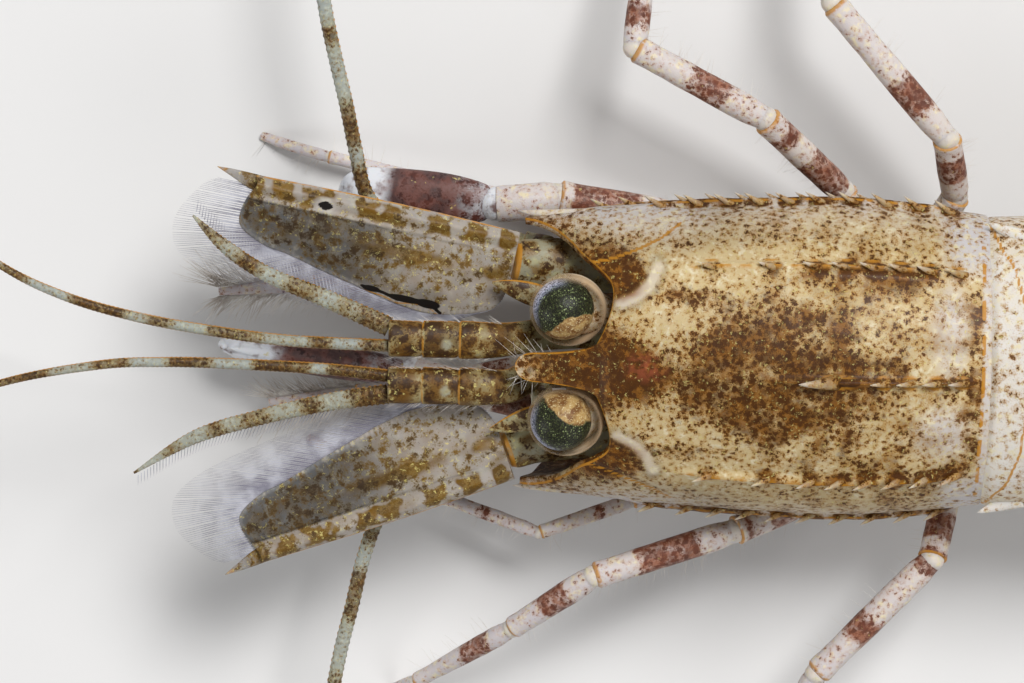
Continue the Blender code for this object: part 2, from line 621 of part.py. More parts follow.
def antenna_base(side, name):
    """The block at the foot of the scale and the jointed stalk of the long feeler."""
    along, _ = scale_axes(name, side)
    front = scale_place(name, side, -GAP, SCALE_ROOT_WIDTH / 2, SCALE_Z - 0.2)
    joints = (
        (ROOT_X, side * 3.6, 7.3, 1.05), (2.6, side * 3.65, 7.45, 1.1), (1.3, side * 3.75, 7.65, 1.1),
        (*front, 0.84),
    )
    root = (Vector((ROOT_X, 0, 0)), FORE_AND_AFT)
    block = tube("antenna_base_" + name, joints, "limb", 10, 0.72, root, (front, along))
    return fuse(block, [tube("stalk", FEELER_STALK[name], "limb", 8, 0.9)])


def feeler(name):
    """The long whip of an antenna, in two lengths."""
    elbow, end = (Vector(joint[:3]) for joint in FEELER_STALK[name][-2:])
    ahead = (end - elbow).normalized()
    start = end + ahead * GAP
    joints = tapered((start, *FEELER[name]), 1.9, FEELER_RADIUS, 0.35)
    middle = len(joints) // 2
    here, after = Vector(joints[middle][:3]), Vector(joints[middle + 1][:3])
    onward = (after - here).normalized()
    far = here + onward * GAP
    tube("feeler_near_" + name, joints[:middle + 1], "limb", 6, 1.0, (start, ahead), (here, onward))
    tube("feeler_far_" + name, [(*far, joints[middle][3]), *joints[middle + 1:]], "limb", 6, 1.0, (far, onward))


def sternum_half(x):
    share = (x - STERNUM_X[0]) / (STERNUM_X[1] - STERNUM_X[0])
    return STERNUM_HALF[0] + (STERNUM_HALF[1] - STERNUM_HALF[0]) * share


def sternum_plane(x, side):
    """Middle of the sternum's side face at x, and that face's normal."""
    high = Vector((x, side * sternum_half(x), STERNUM_TOP))
    low = Vector((x, side * (sternum_half(x) - STERNUM_DRAFT), STERNUM_TOP - STERNUM_DEPTH))
    rear = Vector((x + 1, side * sternum_half(x + 1), STERNUM_TOP))
    normal = (rear - high).cross(low - high).normalized()
    if normal.y * side < 0:
        normal = -normal
    return (high + low) / 2, normal


def sternum():
    """The plate between the legs, from the mouth to the abdomen."""
    low_z = STERNUM_TOP - STERNUM_DEPTH
    rings = []
    for x in STERNUM_X:
        half = sternum_half(x)
        foot = half - STERNUM_DRAFT
        section = ((half, STERNUM_TOP), (foot, low_z), (-foot, low_z), (-half, STERNUM_TOP))
        rings.append([Vector((x, y, z)) for y, z in section])
    return loft("sternum", rings, "shell")


def mouthparts():
    """Jaws and short mouth legs, in one lump before the sternum."""
    rings = []
    for x, half, low in ((5.3, 1.9, 3.2), (4.6, 2.0, 2.9), (3.6, 1.8, 2.9), (2.8, 1.2, 3.4)):
        right = ((half, STERNUM_TOP), (half * 0.95, low + 0.5), (half * 0.5, low))
        section = [*right, *((-y, z) for y, z in reversed(right))]
        rings.append([Vector((x, y, z)) for y, z in section])
    return loft("mouthparts", rings, "shell")


def rooted(kind, side, joints):
    """Joints of a limb with its straight first stretch off the sternum, and the plane its root lies in."""
    point, normal = sternum_plane(LIMB_ROOT_X[kind], side)
    start = point + normal * GAP
    radius = joints[0][3] * 1.1
    return ((*start, radius), (*(start + normal * COXA), radius), *joints), (start, normal)


def knuckled(joints, first=1):
    """Joints of a limb with a slight swelling before each bend and a waist after it."""
    made = list(joints[:first])
    for before, joint, after in zip(joints[first - 1:], joints[first:], joints[first + 1:]):
        here, ahead, back = Vector(joint[:3]), Vector(after[:3]), Vector(before[:3])
        near = here + (back - here).normalized() * min(0.35, (here - back).length / 3)
        far = here + (ahead - here).normalized() * min(0.45, (ahead - here).length / 3)
        made += [(*near, joint[3] * 1.04), (*far, joint[3] * 0.9)]
    return made + [joints[-1]]


def walking_leg(kind, side, name, joints):
    """A leg in two nodes, parted at the knee. It ends in a small flat on the floor."""
    upper, root = rooted(kind, side, joints[:KNEE + 1])
    before, knee, after = (Vector(joint[:3]) for joint in joints[KNEE - 1:KNEE + 2])
    bend = ((knee - before).normalized() + (after - knee).normalized()).normalized()
    start = knee + bend * GAP
    floor = (Vector((0, 0, 0)), UP)
    radius = joints[KNEE][3]
    tube(f"{kind}_{name}_upper", knuckled(upper, 2), "limb", 8, 1.0, root, (knee, bend))
    lower = ((*start, radius * 0.95), *joints[KNEE + 1:])
    tube(f"{kind}_{name}_lower", knuckled(lower), "limb", 8, 1.0, (start, bend), floor)


def claw(side, name):
    """The first leg: its arm, and the hand with its finger folded across the end."""
    joints = CLAW_ARM[name]
    upper, root = rooted("claw", side, joints)
    wrist, tip = Vector(joints[-1][:3]), Vector(CLAW_TIP[name])
    along = (tip - wrist).normalized()
    tube("claw_arm_" + name, knuckled(upper, 2), "limb", 8, 0.95, root, (wrist, along))
    start = wrist + along * GAP
    length = (tip - start).length
    width, thick = HAND[name]
    turn = math.radians(HAND_TURN[name])
    level = along.cross(UP).normalized()
    over = level.cross(along)
    across = (level * math.cos(turn) + over * math.sin(turn)) * side
    up = across.cross(along)
    palm = [(*(start + along * length * share), width * wide) for share, wide in HAND_SHAPE]
    hand = tube("claw_hand_" + name, palm, "limb", 10, thick / width, (start, along), None, up)
    thumb_root = start + along * length * 0.72 - across * width * 0.58
    thumb = spine(thumb_root, start + along * length * 0.97 - across * width * 0.85, 0.36, "limb", 6)
    folds = ((0.8, 0.6, 0.34), (0.97, 0.35, 0.3), (1.02, -0.3, 0.24), (1.0, -0.8, 0.1))
    finger = [(*(start + along * length * a + across * width * c), r) for a, c, r in folds]
    return fuse(hand, [thumb, tube("finger", finger, "limb", 6, 1.0, None, None, up)])


def maxilliped(side, name):
    """A bristly mouth leg that reaches forward under the claws."""
    joints, root = rooted("maxilliped", side, MAXILLIPED[name])
    limb = tube("maxilliped_" + name, knuckled(joints, 2), "limb", 8, 0.9, root)
    path = smooth_path([joint[:3] for joint in MAXILLIPED[name][1:]], 0.25)
    pieces = []
    for edge in (1, -1):
        for i in range(MAXILLIPED_BRISTLES):
            share = 0.3 + 0.66 * (i + (0.5 if edge > 0 else 0.0)) / MAXILLIPED_BRISTLES
            k = min(len(path) - 2, round(share * (len(path) - 1)))
            along = (path[k + 1] - path[k - 1]).normalized()
            across = along.cross(UP).normalized() * edge
            outward = across.y * side > 0
            length = BRISTLE_LENGTH[name] * (1.0 if outward else 0.7)
            tip = path[k] + (across * 0.8 + along * 0.75 - UP * 0.1).normalized() * length
            pieces.append(spine(path[k], tip, 0.25, "limb", 4))
    return fuse(limb, pieces)


def abdomen_ring(x_at, rise, keel):
    """A ring of the abdomen. x_at gives x by share, from 0 on the crest to 1 at the side plate's edge."""
    half = []
    for share in ABDOMEN_SHARES:
        x = x_at(share)
        crest, wide, widest, edge, _ = between(ABDOMEN, x)
        if share <= WIDEST_AT:
            turn = share / WIDEST_AT * math.pi / 2
            y, z = wide * math.sin(turn), widest + (crest - widest) * math.cos(turn)
        else:
            turn = (share - WIDEST_AT) / (1 - WIDEST_AT)
            y, z = wide - 0.5 * turn**2, widest + (edge + rise - widest) * turn
        lift = keel[1] if abs(share - keel[0]) < 0.01 else 0.0
        half.append(Vector((x, y, z + lift)))
    x = x_at(1.0)
    _, wide, _, edge, belly = between(ABDOMEN, x)
    inner = wide - 0.5 - PLEURA_THICK
    half.append(Vector((x, inner, edge + rise + 0.05)))
    half += [Vector((x, inner * part, edge + max(belly, rise + 0.1))) for part in (0.98, 0.5, 0.0)]
    return mirrored_ring(half)


def lean(boundary, share):
    """How far a boundary between segments leans at that share of the way down."""
    low = min(1.0, max(0.0, (share - 0.45) / 0.4))
    return PLEURA_LEAN[boundary] * low * low * (3 - 2 * low)


def abdomen_segment(number):
    """One ring of the abdomen, with its side plates. It keeps the gap to both neighbours."""
    first, last = number - 1, number
    start = ABDOMEN[first][0] + (GAP / 2 if first else 0)
    end = ABDOMEN[last][0] - (GAP / 2 if last < SEGMENTS else 0)
    share_of_keel, height = ABDOMEN_KEELS[first]
    rings = []
    for reach in (0.0, 0.07, 0.35, 0.65, 0.93, 1.0):
        def x_at(share, reach=reach):
            return (start + lean(first, share)) * (1 - reach) + (end + lean(last, share)) * reach
        rise = PLEURA_RISE * abs(2 * reach - 1) ** 3
        lift = height * (1 if 0 < reach < 1 else 0.3)
        rings.append(abdomen_ring(x_at, rise, (share_of_keel, lift)))
    return loft(f"abdomen_{number}", rings, "shell")


def leaf(name, root, along, across, length, width, bristles, lift=None):
    """A flat leaf edged with bristles: a swimmeret's paddle or a blade of the tail fan. lift sets its height."""
    columns = 2 * bristles + 1
    normal = along.cross(across).normalized()
    if normal.z < 0:
        normal = -normal
    thin = FAN_THICK / 2
    grid, halves = [], []
    for i in range(columns):
        t = i / (columns - 1)
        half = width / 2 * straight(LEAF_SHAPE, t)
        middle = root + along * length * t
        if lift:
            middle.z = lift(t)
        bristle = i % 2
        sweep = along * 0.5 * bristle
        reach = half if bristle else half * 0.84
        line = [middle + across * half * part for part in (-0.66, 0, 0.66)]
        grid.append([middle - across * reach + sweep, *line, middle + across * reach + sweep])
        halves.append([thin * 0.6, thin, thin, thin, thin * 0.6])
    return slab(name, grid, halves, "clear", normal)


def swimmeret(number, side, name):
    """One flat paddle under the abdomen, folded back along the belly."""
    x = (ABDOMEN[number - 1][0] + ABDOMEN[number][0]) / 2 - 0.6
    _, wide, _, edge, belly = between(ABDOMEN, x)
    y = side * wide * 0.42
    _, _, _, next_edge, next_belly = between(ABDOMEN, x + 1)
    normal = Vector((edge + belly - next_edge - next_belly, 0, 1)).normalized()
    start = Vector((x, y, edge + belly)) - normal * GAP
    foot = Vector((x + 0.3, y, start.z - SWIMMERET_DROP))
    joints = ((*start, 0.5), (*start.lerp(foot, 0.5), 0.48), (*foot, 0.4))
    stalk = tube(f"swimmeret_{number}_{name}", joints, "clear", 8, 1.0, (start, normal))
    along = Vector((0.94, 0, -0.34)).normalized()
    length = SWIMMERET_LENGTH[number - 1]
    paddle = leaf("paddle", foot - along * 0.3, along, Vector((0, 1, 0)), length, SWIMMERET_WIDTH, 4)
    return fuse(stalk, [paddle])


def telson():
    """The narrow middle blade of the tail fan."""
    section = ((0.0, 0.75), (0.55, 1.0), (1.0, 0.1), (0.7, -0.9), (0.0, -1.0), (-0.7, -0.9), (-1.0, 0.1), (-0.55, 1.0))
    rings = []
    for x, half, z, thick in TELSON:
        rings.append([Vector((x, half * u, z + thick * v)) for u, v in section])
    tail = loft("telson", rings, "shell")
    end_x, _, end_z, _ = TELSON[-1]
    return fuse(tail, [spine((end_x - 0.7, y, end_z), (end_x + 0.9, y * 1.7, end_z), 0.2, "shell") for y in (-0.25, 0.25)])


def fan_blade(name, side, width, splay, root, heights, bristles):
    """One side blade of the tail fan, which comes down to its level along the way."""
    turn = math.radians(splay)
    along = Vector((math.cos(turn), side * math.sin(turn), 0))
    across = Vector((-math.sin(turn), side * math.cos(turn), 0))
    high, low = heights

    def lift(t):
        fall = min(1.0, t / 0.35)
        return high + (low - high) * fall * fall * (3 - 2 * fall)
    return leaf(name, Vector(root), along, across, FAN_LENGTH, width, bristles, lift)


def tail_fan(side, name):
    """The outer blade with the block that carries it, and the inner blade over it."""
    root = (Vector((FAN_ROOT_X, 0, 0)), FORE_AND_AFT)
    back = (Vector((FAN_BLOCK_END, 0, 0)), FORE_AND_AFT)
    joints = ((FAN_ROOT_X, side * 1.95, 2.35, 0.82), (70.2, side * 2.15, 2.2, 0.9), (FAN_BLOCK_END, side * 2.3, 2.1, 0.8))
    block = tube("tail_outer_" + name, joints, "clear", 10, 0.8, root, back)
    outer_root = (70.2, side * 2.5, 1.7)
    outer = fan_blade("blade", side, OUTER_WIDTH, OUTER_SPLAY, outer_root, (1.7, FAN_THICK / 2), 9)
    inner_root = (FAN_BLOCK_END + GAP, side * 1.8, 2.4)
    fan_blade("tail_inner_" + name, side, INNER_WIDTH, INNER_SPLAY, inner_root, (2.4, 1.1), 9)
    return fuse(block, [outer])


def settle():
    """Brings the middle of the base of all shown objects to the origin, and shades the round pieces."""
    shown = [o for o in bpy.context.scene.objects if o.type == "MESH" and not o.hide_render]
    corners = [v.co for o in shown for v in o.data.vertices]
    low = Vector([min(c[k] for c in corners) for k in range(3)])
    high = Vector([max(c[k] for c in corners) for k in range(3)])
    shift = Vector((-(low.x + high.x) / 2, -(low.y + high.y) / 2, -low.z))
    for o in shown:
        for vertex in o.data.vertices:
            vertex.co += shift
        o.data.shade_smooth()
        o.data.set_sharp_from_angle(angle=math.radians(35))


def main():
    for old in list(bpy.data.objects):
        bpy.data.objects.remove(old)
    carapace()
    sternum()
    mouthparts()
    for number in range(1, SEGMENTS + 1):
        abdomen_segment(number)
    telson()
    for side, name in SIDES:
        eye(side, name)
        antennule(side, name)
        antennule_whips(name)
        antenna_scale(side, name)
        antenna_base(side, name)
        feeler(name)
        maxilliped(side, name)
        claw(side, name)
        joints, root = rooted("leg2", side, LEG2[name])
        tube("leg2_" + name, knuckled(joints, 2), "limb", 7, 1.0, root)
        for kind, legs in (("leg3", LEG3), ("leg4", LEG4), ("leg5", LEG5)):
            walking_leg(kind, side, name, legs[name])
        for number in range(1, 6):
            swimmeret(number, side, name)
        tail_fan(side, name)
    settle()


main()
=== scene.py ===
"""Looks of the sevenline shrimp: shell, limbs, eyes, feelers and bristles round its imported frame.

Sizes are in millimetres in the body's own frame: x = 0 under the tip of the rostrum, the head toward
-x, the animal's right side at +y, the floor at z = 0. Shape.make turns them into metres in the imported
model's frame.
"""
import math
import random

import bmesh
import bpy
import numpy as np
from mathutils import Matrix, Vector, noise


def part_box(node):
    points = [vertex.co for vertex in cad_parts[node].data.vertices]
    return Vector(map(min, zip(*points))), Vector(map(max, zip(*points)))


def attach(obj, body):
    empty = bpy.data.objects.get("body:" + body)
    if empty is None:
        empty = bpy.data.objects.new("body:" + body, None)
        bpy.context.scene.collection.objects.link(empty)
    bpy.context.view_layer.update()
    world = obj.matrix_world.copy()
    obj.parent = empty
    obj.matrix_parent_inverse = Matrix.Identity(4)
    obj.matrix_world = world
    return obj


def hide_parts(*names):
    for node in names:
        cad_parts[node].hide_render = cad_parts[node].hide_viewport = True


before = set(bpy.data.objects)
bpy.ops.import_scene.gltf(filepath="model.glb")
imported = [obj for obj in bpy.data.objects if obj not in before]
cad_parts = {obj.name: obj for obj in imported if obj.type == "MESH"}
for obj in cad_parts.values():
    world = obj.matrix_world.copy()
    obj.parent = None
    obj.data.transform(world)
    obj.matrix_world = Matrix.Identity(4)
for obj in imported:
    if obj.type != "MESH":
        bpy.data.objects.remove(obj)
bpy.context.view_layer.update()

MM = 0.001
GAP = 0.3
SIDES = ((1, "right"), (-1, "left"))
UP = np.array((0.0, 0.0, 1.0))
FLOOR_CLEARANCE = 0.02
MARKS = ("brown", "gold", "pale", "lilac", "red", "dark", "shade", "amber")

SEEDS = {"inner_whip": 3, "outer_whip": 21, "feeler": 31, "feeler_pale": 51, "bristles": 70, "hairs": 5}

# Carapace: x, crest height, half width at the widest level, half width of the lower edge
CARAPACE = (
    (0.3, 9.9, 5.8, 4.6),
    (2.4, 11.0, 6.1, 4.75),
    (4.1, 12.15, 6.3, 4.9),
    (7.0, 12.9, 6.5, 5.1),
    (11.0, 13.3, 6.7, 5.2),
    (15.0, 13.3, 6.75, 5.2),
    (20.0, 12.7, 6.25, 4.9),
)
CARAPACE_END = 20.0
WIDEST_Z = 8.0
CARAPACE_FLOOR_Z = 4.6
WIDEST_AT = 0.62
ARCH = 1.8
FRONT_EDGE = (
    (0.0, 3.2), (0.06, 3.3), (0.13, 3.75), (0.2, 4.05), (0.26, 4.0), (0.31, 3.4), (0.35, 2.8),
    (0.4, 2.3), (0.47, 1.6), (0.55, 0.8), (0.62, 0.3), (0.7, 0.8), (0.8, 1.2), (1.0, 2.4), (1.2, 3.4),
)
FACE_X = 4.4
RIM = 0.28
# Keels: share of the way down the side, height, first and last x, half width as a share
KEELS = ((0.0, 0.25, 10.0, 19.6), (0.31, 0.28, 6.5, 19.0), (0.6, 0.3, 4.5, 19.3), (0.81, 0.28, 2.8, 17.5))
KEEL_SHARE = 0.022
TEETH = (
    (11.9, 14.9, 16.0, 17.1, 18.2),
    (7.6, 10.1, 12.0, 13.2, 14.4, 15.6, 16.8, 18.0),
    (5.4, 7.0, 8.3, 9.6, 10.9, 12.2, 13.6, 15.0, 16.4, 17.7),
    (3.1, 4.3, 5.4, 6.7, 8.0, 9.3, 10.6, 11.9, 13.2, 14.5),
)
TOOTH_LENGTH = 1.1
GREAT_TOOTH = (KEELS[0][0], TEETH[0][0])
CHEEK_SPINE = ((3.2, 5.75, 7.8), (0.0, 6.0, 7.5))
# Rostrum: x, half width, height of the middle, half thickness
ROSTRUM = (
    (0.0, 0.1, 11.2, 0.16), (0.08, 0.28, 11.21, 0.2), (0.25, 0.46, 11.24, 0.25), (0.6, 0.6, 11.3, 0.3),
    (1.3, 0.65, 11.4, 0.32), (2.3, 0.76, 11.52, 0.34), (3.2, 0.98, 11.6, 0.36), (4.3, 1.7, 11.65, 0.4),
    (5.6, 2.2, 11.6, 0.5),
)
EYE = np.array((2.2, 2.38, 10.75))
EYE_RADIUS = 1.55
EYE_STALK = ((2.6, 2.3, 9.9, 1.2), (3.3, 2.1, 9.75, 0.95), (4.0, 1.9, 9.65, 0.8), (4.6, 1.8, 9.6, 0.8))
STERNUM_X = (5.6, 19.8)
STERNUM_HALF = (2.3, 3.2)
STERNUM_TOP = CARAPACE_FLOOR_Z - GAP
STERNUM_DEPTH = 1.4
STERNUM_DRAFT = 0.9
COXA = 0.55
# Mouthparts of the right side: x, y, z and radius
JAW = ((5.5, 1.0, 3.65, 0.7), (4.5, 0.95, 3.5, 0.8), (3.5, 0.8, 3.55, 0.66), (2.8, 0.5, 3.8, 0.4))
PALP = ((5.2, 1.7, 3.9, 0.3), (3.8, 1.8, 3.7, 0.3), (2.9, 1.4, 3.6, 0.22))

frame_low, frame_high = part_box("sternum")
SHIFT = np.array((frame_low[0] - STERNUM_X[0] * MM, (frame_low[1] + frame_high[1]) / 2, 0.0))

# Short feelers: the neck by x, z and radius, the level joints by x and radius, the right leaf and the whips
ANTENNULE_MIDLINE = -0.22
ANTENNULE_APART = 1.01
ANTENNULE_Z = 9.8
ANTENNULE_NECK = ((4.6, 7.9, 0.62), (2.6, 8.1, 0.66), (0.9, 8.7, 0.68))
ANTENNULE_JOINTS = (
    (-1.2, 0.78), (-2.1, 0.82), (-2.35, 0.8), (-2.45, 0.68), (-2.55, 0.78), (-3.75, 0.8), (-3.92, 0.78),
    (-4.0, 0.64), (-4.08, 0.75), (-5.2, 0.79), (-5.4, 0.74),
)
ANTENNULE_LEAF = (
    (1.3, 2.5, 9.0, 0.5), (0.5, 2.75, 9.1, 0.5), (-0.3, 3.0, 9.2, 0.34), (-1.05, 3.2, 9.25, 0.05),
)
# Hairs of their inner and outer edge: off the middle, z, count, spread outward and upward, greatest length
STALK_HAIRS = ((0.72, 9.8, 50, (0.2, 0.9), (-0.3, 0.5), 0.8), (-0.72, 9.9, 40, (-0.1, -0.5), (0, 0.4), 0.7))
# Radius, the tip's share of it, and how much slimmer a whip or feeler grows before its tip
INNER_TAPER = (0.27, 0.36, 0.4)
OUTER_TAPER = (0.43, 0.12, 0.42)
FEELER_TAPER = (0.32, 0.27, 0.2)
INNER_WHIP = {
    "right": ((-5.4, 0.45, 9.7), (-9.7, 0.6, 9.8), (-13.0, 1.0, 10.0), (-16.1, 1.55, 10.2),
              (-19.1, 2.4, 10.4), (-21.9, 3.75, 10.6), (-25.2, 6.3, 11.0)),
    "left": ((-5.4, -0.85, 9.7), (-8.1, -0.6, 9.8), (-12.2, -0.42, 10.0), (-15.0, -0.38, 10.2),
             (-17.7, -0.53, 10.4), (-21.8, -1.34, 10.7), (-26.0, -3.0, 11.0)),
}
OUTER_WHIP = {
    "right": ((-5.4, 1.25, 9.6), (-8.2, 2.45, 9.6), (-10.6, 3.4, 9.6), (-12.4, 4.55, 9.6),
              (-13.8, 5.85, 9.5)),
    "left": ((-5.4, -1.66, 9.6), (-8.0, -2.1, 9.6), (-10.8, -2.8, 9.6), (-13.6, -3.75, 9.5),
             (-16.2, -5.4, 9.4)),
}

# Scale over each long feeler
SCALE_Z = 8.2
SCALE_BASE = {"right": (0.1, 5.2), "left": (0.1, -5.55)}
SCALE_SPLAY = {"right": 11.2, "left": 20.0}
SCALE_LENGTH = 11.5
# Spine of a scale: x and y from the scale's root, height and radius
SPINE_JOINTS = (
    (7.8, 0.42, 0.05, 0.04), (9.5, 0.42, 0.04, 0.28), (10.7, 0.42, 0.02, 0.4), (11.6, 0.3, 0, 0.34),
    (12.5, 0.12, 0, 0.17), (13.2, 0, 0, 0.012),
)
SCALE_INNER = (
    (0.0, 2.6), (0.6, 3.6), (2.8, 4.25), (4.5, 4.15), (6.2, 3.8), (7.6, 3.5), (9.5, 3.05), (10.5, 2.9),
    (11.6, 2.4), (11.85, 1.8), (11.65, 0.9), (11.3, 0.45),
)
SCALE_FRINGE = (
    (0.5, 2.9), (1.6, 4.2), (3.9, 4.85), (5.6, 5.1), (7.3, 5.1), (9.7, 4.95), (11.3, 4.8), (13.2, 4.4),
    (14.3, 3.7), (14.5, 2.4), (13.7, 0.95), (13.1, 0.5),
)
FRINGE_HAIRS = 170
# Brown spots along each scale's outer rib, in millimetres from its root, and their half lengths
RIB_SPOTS = (
    (0.4, 0.4), (1.84, 0.45), (3.42, 0.5), (5.5, 0.5), (6.5, 0.45), (8.7, 0.7), (10.25, 0.5), (11.5, 0.4),
)
STREAK = (4.6, 1.9)
HOLE = (8.35, 0.6)
TEAR = ((2.6, 4.15), (3.1, 3.85), (3.8, 3.8), (4.5, 3.95), (5.14, 3.78), (6.1, 3.68))
TEAR_WIDE = (((3.2, 3.85), (0.55, 0.2)), ((4.2, 3.85), (0.75, 0.16)), ((5.7, 3.72), (0.4, 0.14)))
# Block at the foot of the right scale, and its spots: place along and across it, and size
BASE_BLOCK = ((4.7, 3.5, 7.2, 1.0), (2.6, 3.65, 7.45, 1.12), (1.3, 3.75, 7.65, 1.14))
BASE_SPOTS = (((0.62, 0.55), 0.3), ((0.8, -0.15), 0.25), ((0.93, 0.7), 0.3), ((0.45, -0.5), 0.35))

FEELER_STALK = {
    "right": ((1.6, 4.0, 6.7, 0.75), (0.3, 4.1, 6.45, 0.8), (-2.6, 4.4, 6.2, 0.72),
              (-5.3, 4.9, 6.2, 0.5)),
    "left": ((1.6, -4.0, 6.7, 0.75), (0.3, -4.2, 6.45, 0.8), (-2.4, -5.0, 6.2, 0.72),
             (-4.9, -6.3, 6.2, 0.5)),
}
FEELER = {
    "right": ((-6.5, 6.3, 6.2), (-7.5, 10.4, 6.2), (-8.5, 14.8, 6.3), (-9.0, 20.0, 6.5),
              (-8.2, 26.0, 6.9), (-5.4, 32.0, 7.3), (-0.6, 37.2, 7.6), (5.6, 41.0, 7.6),
              (13.0, 43.6, 7.2), (21.0, 45.2, 6.4), (29.0, 46.0, 5.4)),
    "left": ((-6.1, -8.6, 6.2), (-6.9, -12.0, 6.2), (-7.6, -15.4, 6.3), (-8.0, -20.4, 6.6),
             (-7.0, -26.4, 7.0), (-4.0, -32.2, 7.4), (1.0, -37.2, 7.7), (7.4, -40.8, 7.7),
             (15.0, -43.0, 7.3), (23.0, -44.2, 6.5), (31.0, -44.6, 5.5)),
}

# Limbs: x, y, z and radius at each joint, after the straight stretch at the sternum
LIMB_ROOT_X = {"maxilliped": 6.6, "claw": 8.4, "leg2": 10.4, "leg3": 12.3, "leg4": 14.7, "leg5": 17.4}
LIMBS = {
    "maxilliped_right": ((5.3, 1.9, 2.1, 0.55), (1.0, 1.95, 2.0, 0.5), (-4.0, 1.9, 2.1, 0.46),
                         (-9.0, 1.7, 2.3, 0.4), (-13.0, 1.3, 2.6, 0.16)),
    "maxilliped_left": ((5.0, -1.8, 1.7, 0.55), (1.0, -1.9, 1.25, 0.5), (-3.0, -2.7, 1.15, 0.46),
                        (-7.0, -3.4, 1.25, 0.4), (-10.8, -3.8, 1.5, 0.16)),
    "claw_right": ((8.2, 4.5, 3.1, 0.7), (6.8, 5.2, 3.1, 0.65), (1.7, 5.9, 3.5, 0.75),
                   (-0.9, 5.65, 3.8, 0.78)),
    "claw_left": ((7.4, -4.3, 3.0, 0.7), (5.6, -4.4, 3.0, 0.65), (-1.7, -2.7, 3.4, 0.72),
                  (-4.4, -2.0, 3.5, 0.75)),
    "leg2_right": ((10.2, 3.5, 2.0, 0.45), (9.2, 3.6, 1.5, 0.4), (6.2, 3.5, 1.2, 0.36),
                   (3.2, 3.3, 1.4, 0.3), (1.9, 3.1, 1.6, 0.14)),
    "leg2_left": ((9.9, -4.0, 2.2, 0.45), (8.9, -4.3, 1.6, 0.4), (5.8, -4.9, 1.15, 0.36),
                  (3.0, -4.7, 1.35, 0.3), (1.7, -4.5, 1.6, 0.14)),
    "leg3_right": ((12.2, 4.4, 2.3, 0.45), (10.4, 4.8, 1.4, 0.36), (4.8, 5.2, 1.25, 0.34),
                   (-0.4, 5.6, 1.5, 0.3), (-4.4, 6.3, 1.3, 0.28), (-8.4, 7.1, 0.9, 0.27),
                   (-11.3, 7.8, 0.0, 0.2)),
    "leg3_left": ((12.1, -4.7, 2.8, 0.5), (9.4, -6.1, 3.5, 0.36), (5.2, -7.3, 4.2, 0.34),
                  (1.2, -8.7, 4.7, 0.3), (-3.0, -7.5, 3.4, 0.28), (-6.9, -6.3, 1.9, 0.27),
                  (-9.0, -5.7, 0.0, 0.2)),
    "leg4_right": ((14.6, 4.7, 3.3, 0.68), (14.0, 6.6, 4.2, 0.6), (10.5, 10.0, 6.2, 0.6),
                   (4.8, 13.0, 6.4, 0.55), (5.2, 16.6, 4.9, 0.47), (6.0, 21.6, 1.6, 0.33),
                   (6.2, 22.9, 0.0, 0.22)),
    "leg4_left": ((14.8, -5.0, 3.3, 0.68), (12.6, -7.2, 4.3, 0.6), (9.7, -8.2, 5.7, 0.6),
                  (3.6, -10.2, 6.4, 0.55), (0.1, -13.0, 4.8, 0.47), (-4.1, -16.2, 1.9, 0.33),
                  (-5.1, -17.0, 0.0, 0.22)),
    "leg5_right": ((18.1, 4.7, 3.2, 0.65), (18.9, 6.5, 4.1, 0.6), (18.3, 9.3, 6.1, 0.6),
                   (13.2, 15.1, 6.2, 0.55), (12.4, 18.6, 4.8, 0.47), (12.2, 23.6, 1.6, 0.33),
                   (12.3, 24.9, 0.0, 0.22)),
    "leg5_left": ((18.2, -4.7, 3.2, 0.65), (19.0, -6.7, 4.1, 0.6), (18.3, -9.2, 6.0, 0.6),
                  (13.4, -14.4, 6.2, 0.55), (12.2, -17.8, 4.8, 0.47), (11.6, -22.8, 1.6, 0.33),
                  (11.6, -24.1, 0.0, 0.22)),
}
CLAW_TIP = {"right": (-7.6, 6.1, 3.4), "left": (-12.7, -0.85, 3.3)}
HAND = {"right": (1.15, 0.7), "left": (1.05, 0.75)}
HAND_TURN = {"right": 0.0, "left": 90.0}
# Finger folded across the hand's end: share of its length, share of its width off the middle, radius
FINGER = ((0.78, 0.6, 0.3), (0.95, 0.4, 0.3), (1.0, -0.25, 0.24), (0.99, -0.75, 0.1))
HAND_SHAPE = ((0, 0.62), (0.1, 0.8), (0.3, 0.97), (0.55, 1.0), (0.75, 0.93), (0.88, 0.72), (1.0, 0.28))
# Brown bands of each limb: from and to, in joints. 2.5 is half way from joint 2 to joint 3
BANDS = {
    "leg4_right": ((2.3, 2.55), (3.02, 3.5), (3.68, 3.85), (4.3, 4.6), (5.2, 5.5), (6.2, 6.4)),
    "leg5_right": ((3.35, 3.78), (4.2, 4.45), (5.2, 5.45), (6.2, 6.4)),
    "leg4_left": ((2.4, 2.6), (3.05, 3.55), (3.78, 3.92), (4.25, 4.7), (5.25, 5.6), (6.2, 6.5)),
    "leg5_left": ((3.3, 3.75), (3.92, 4.1), (4.5, 4.7), (5.3, 5.5), (6.2, 6.4)),
    "leg3_right": ((4.3, 4.4), (5.5, 5.6)),
    "leg3_left": ((4.3, 4.4), (5.5, 5.6)),
    "claw_right": ((2.1, 2.9), (3.3, 3.9)),
    "claw_left": ((2.2, 2.8), (3.3, 3.9)),
    "maxilliped_right": ((2.2, 2.5), (3.3, 3.6), (4.4, 4.7)),
    "maxilliped_left": ((2.2, 2.5), (3.3, 3.6), (4.4, 4.7)),
}
BRISTLE_SPREAD = ((-0.25, 0.25), (-0.25, 0.25), (-0.45, 0.2))

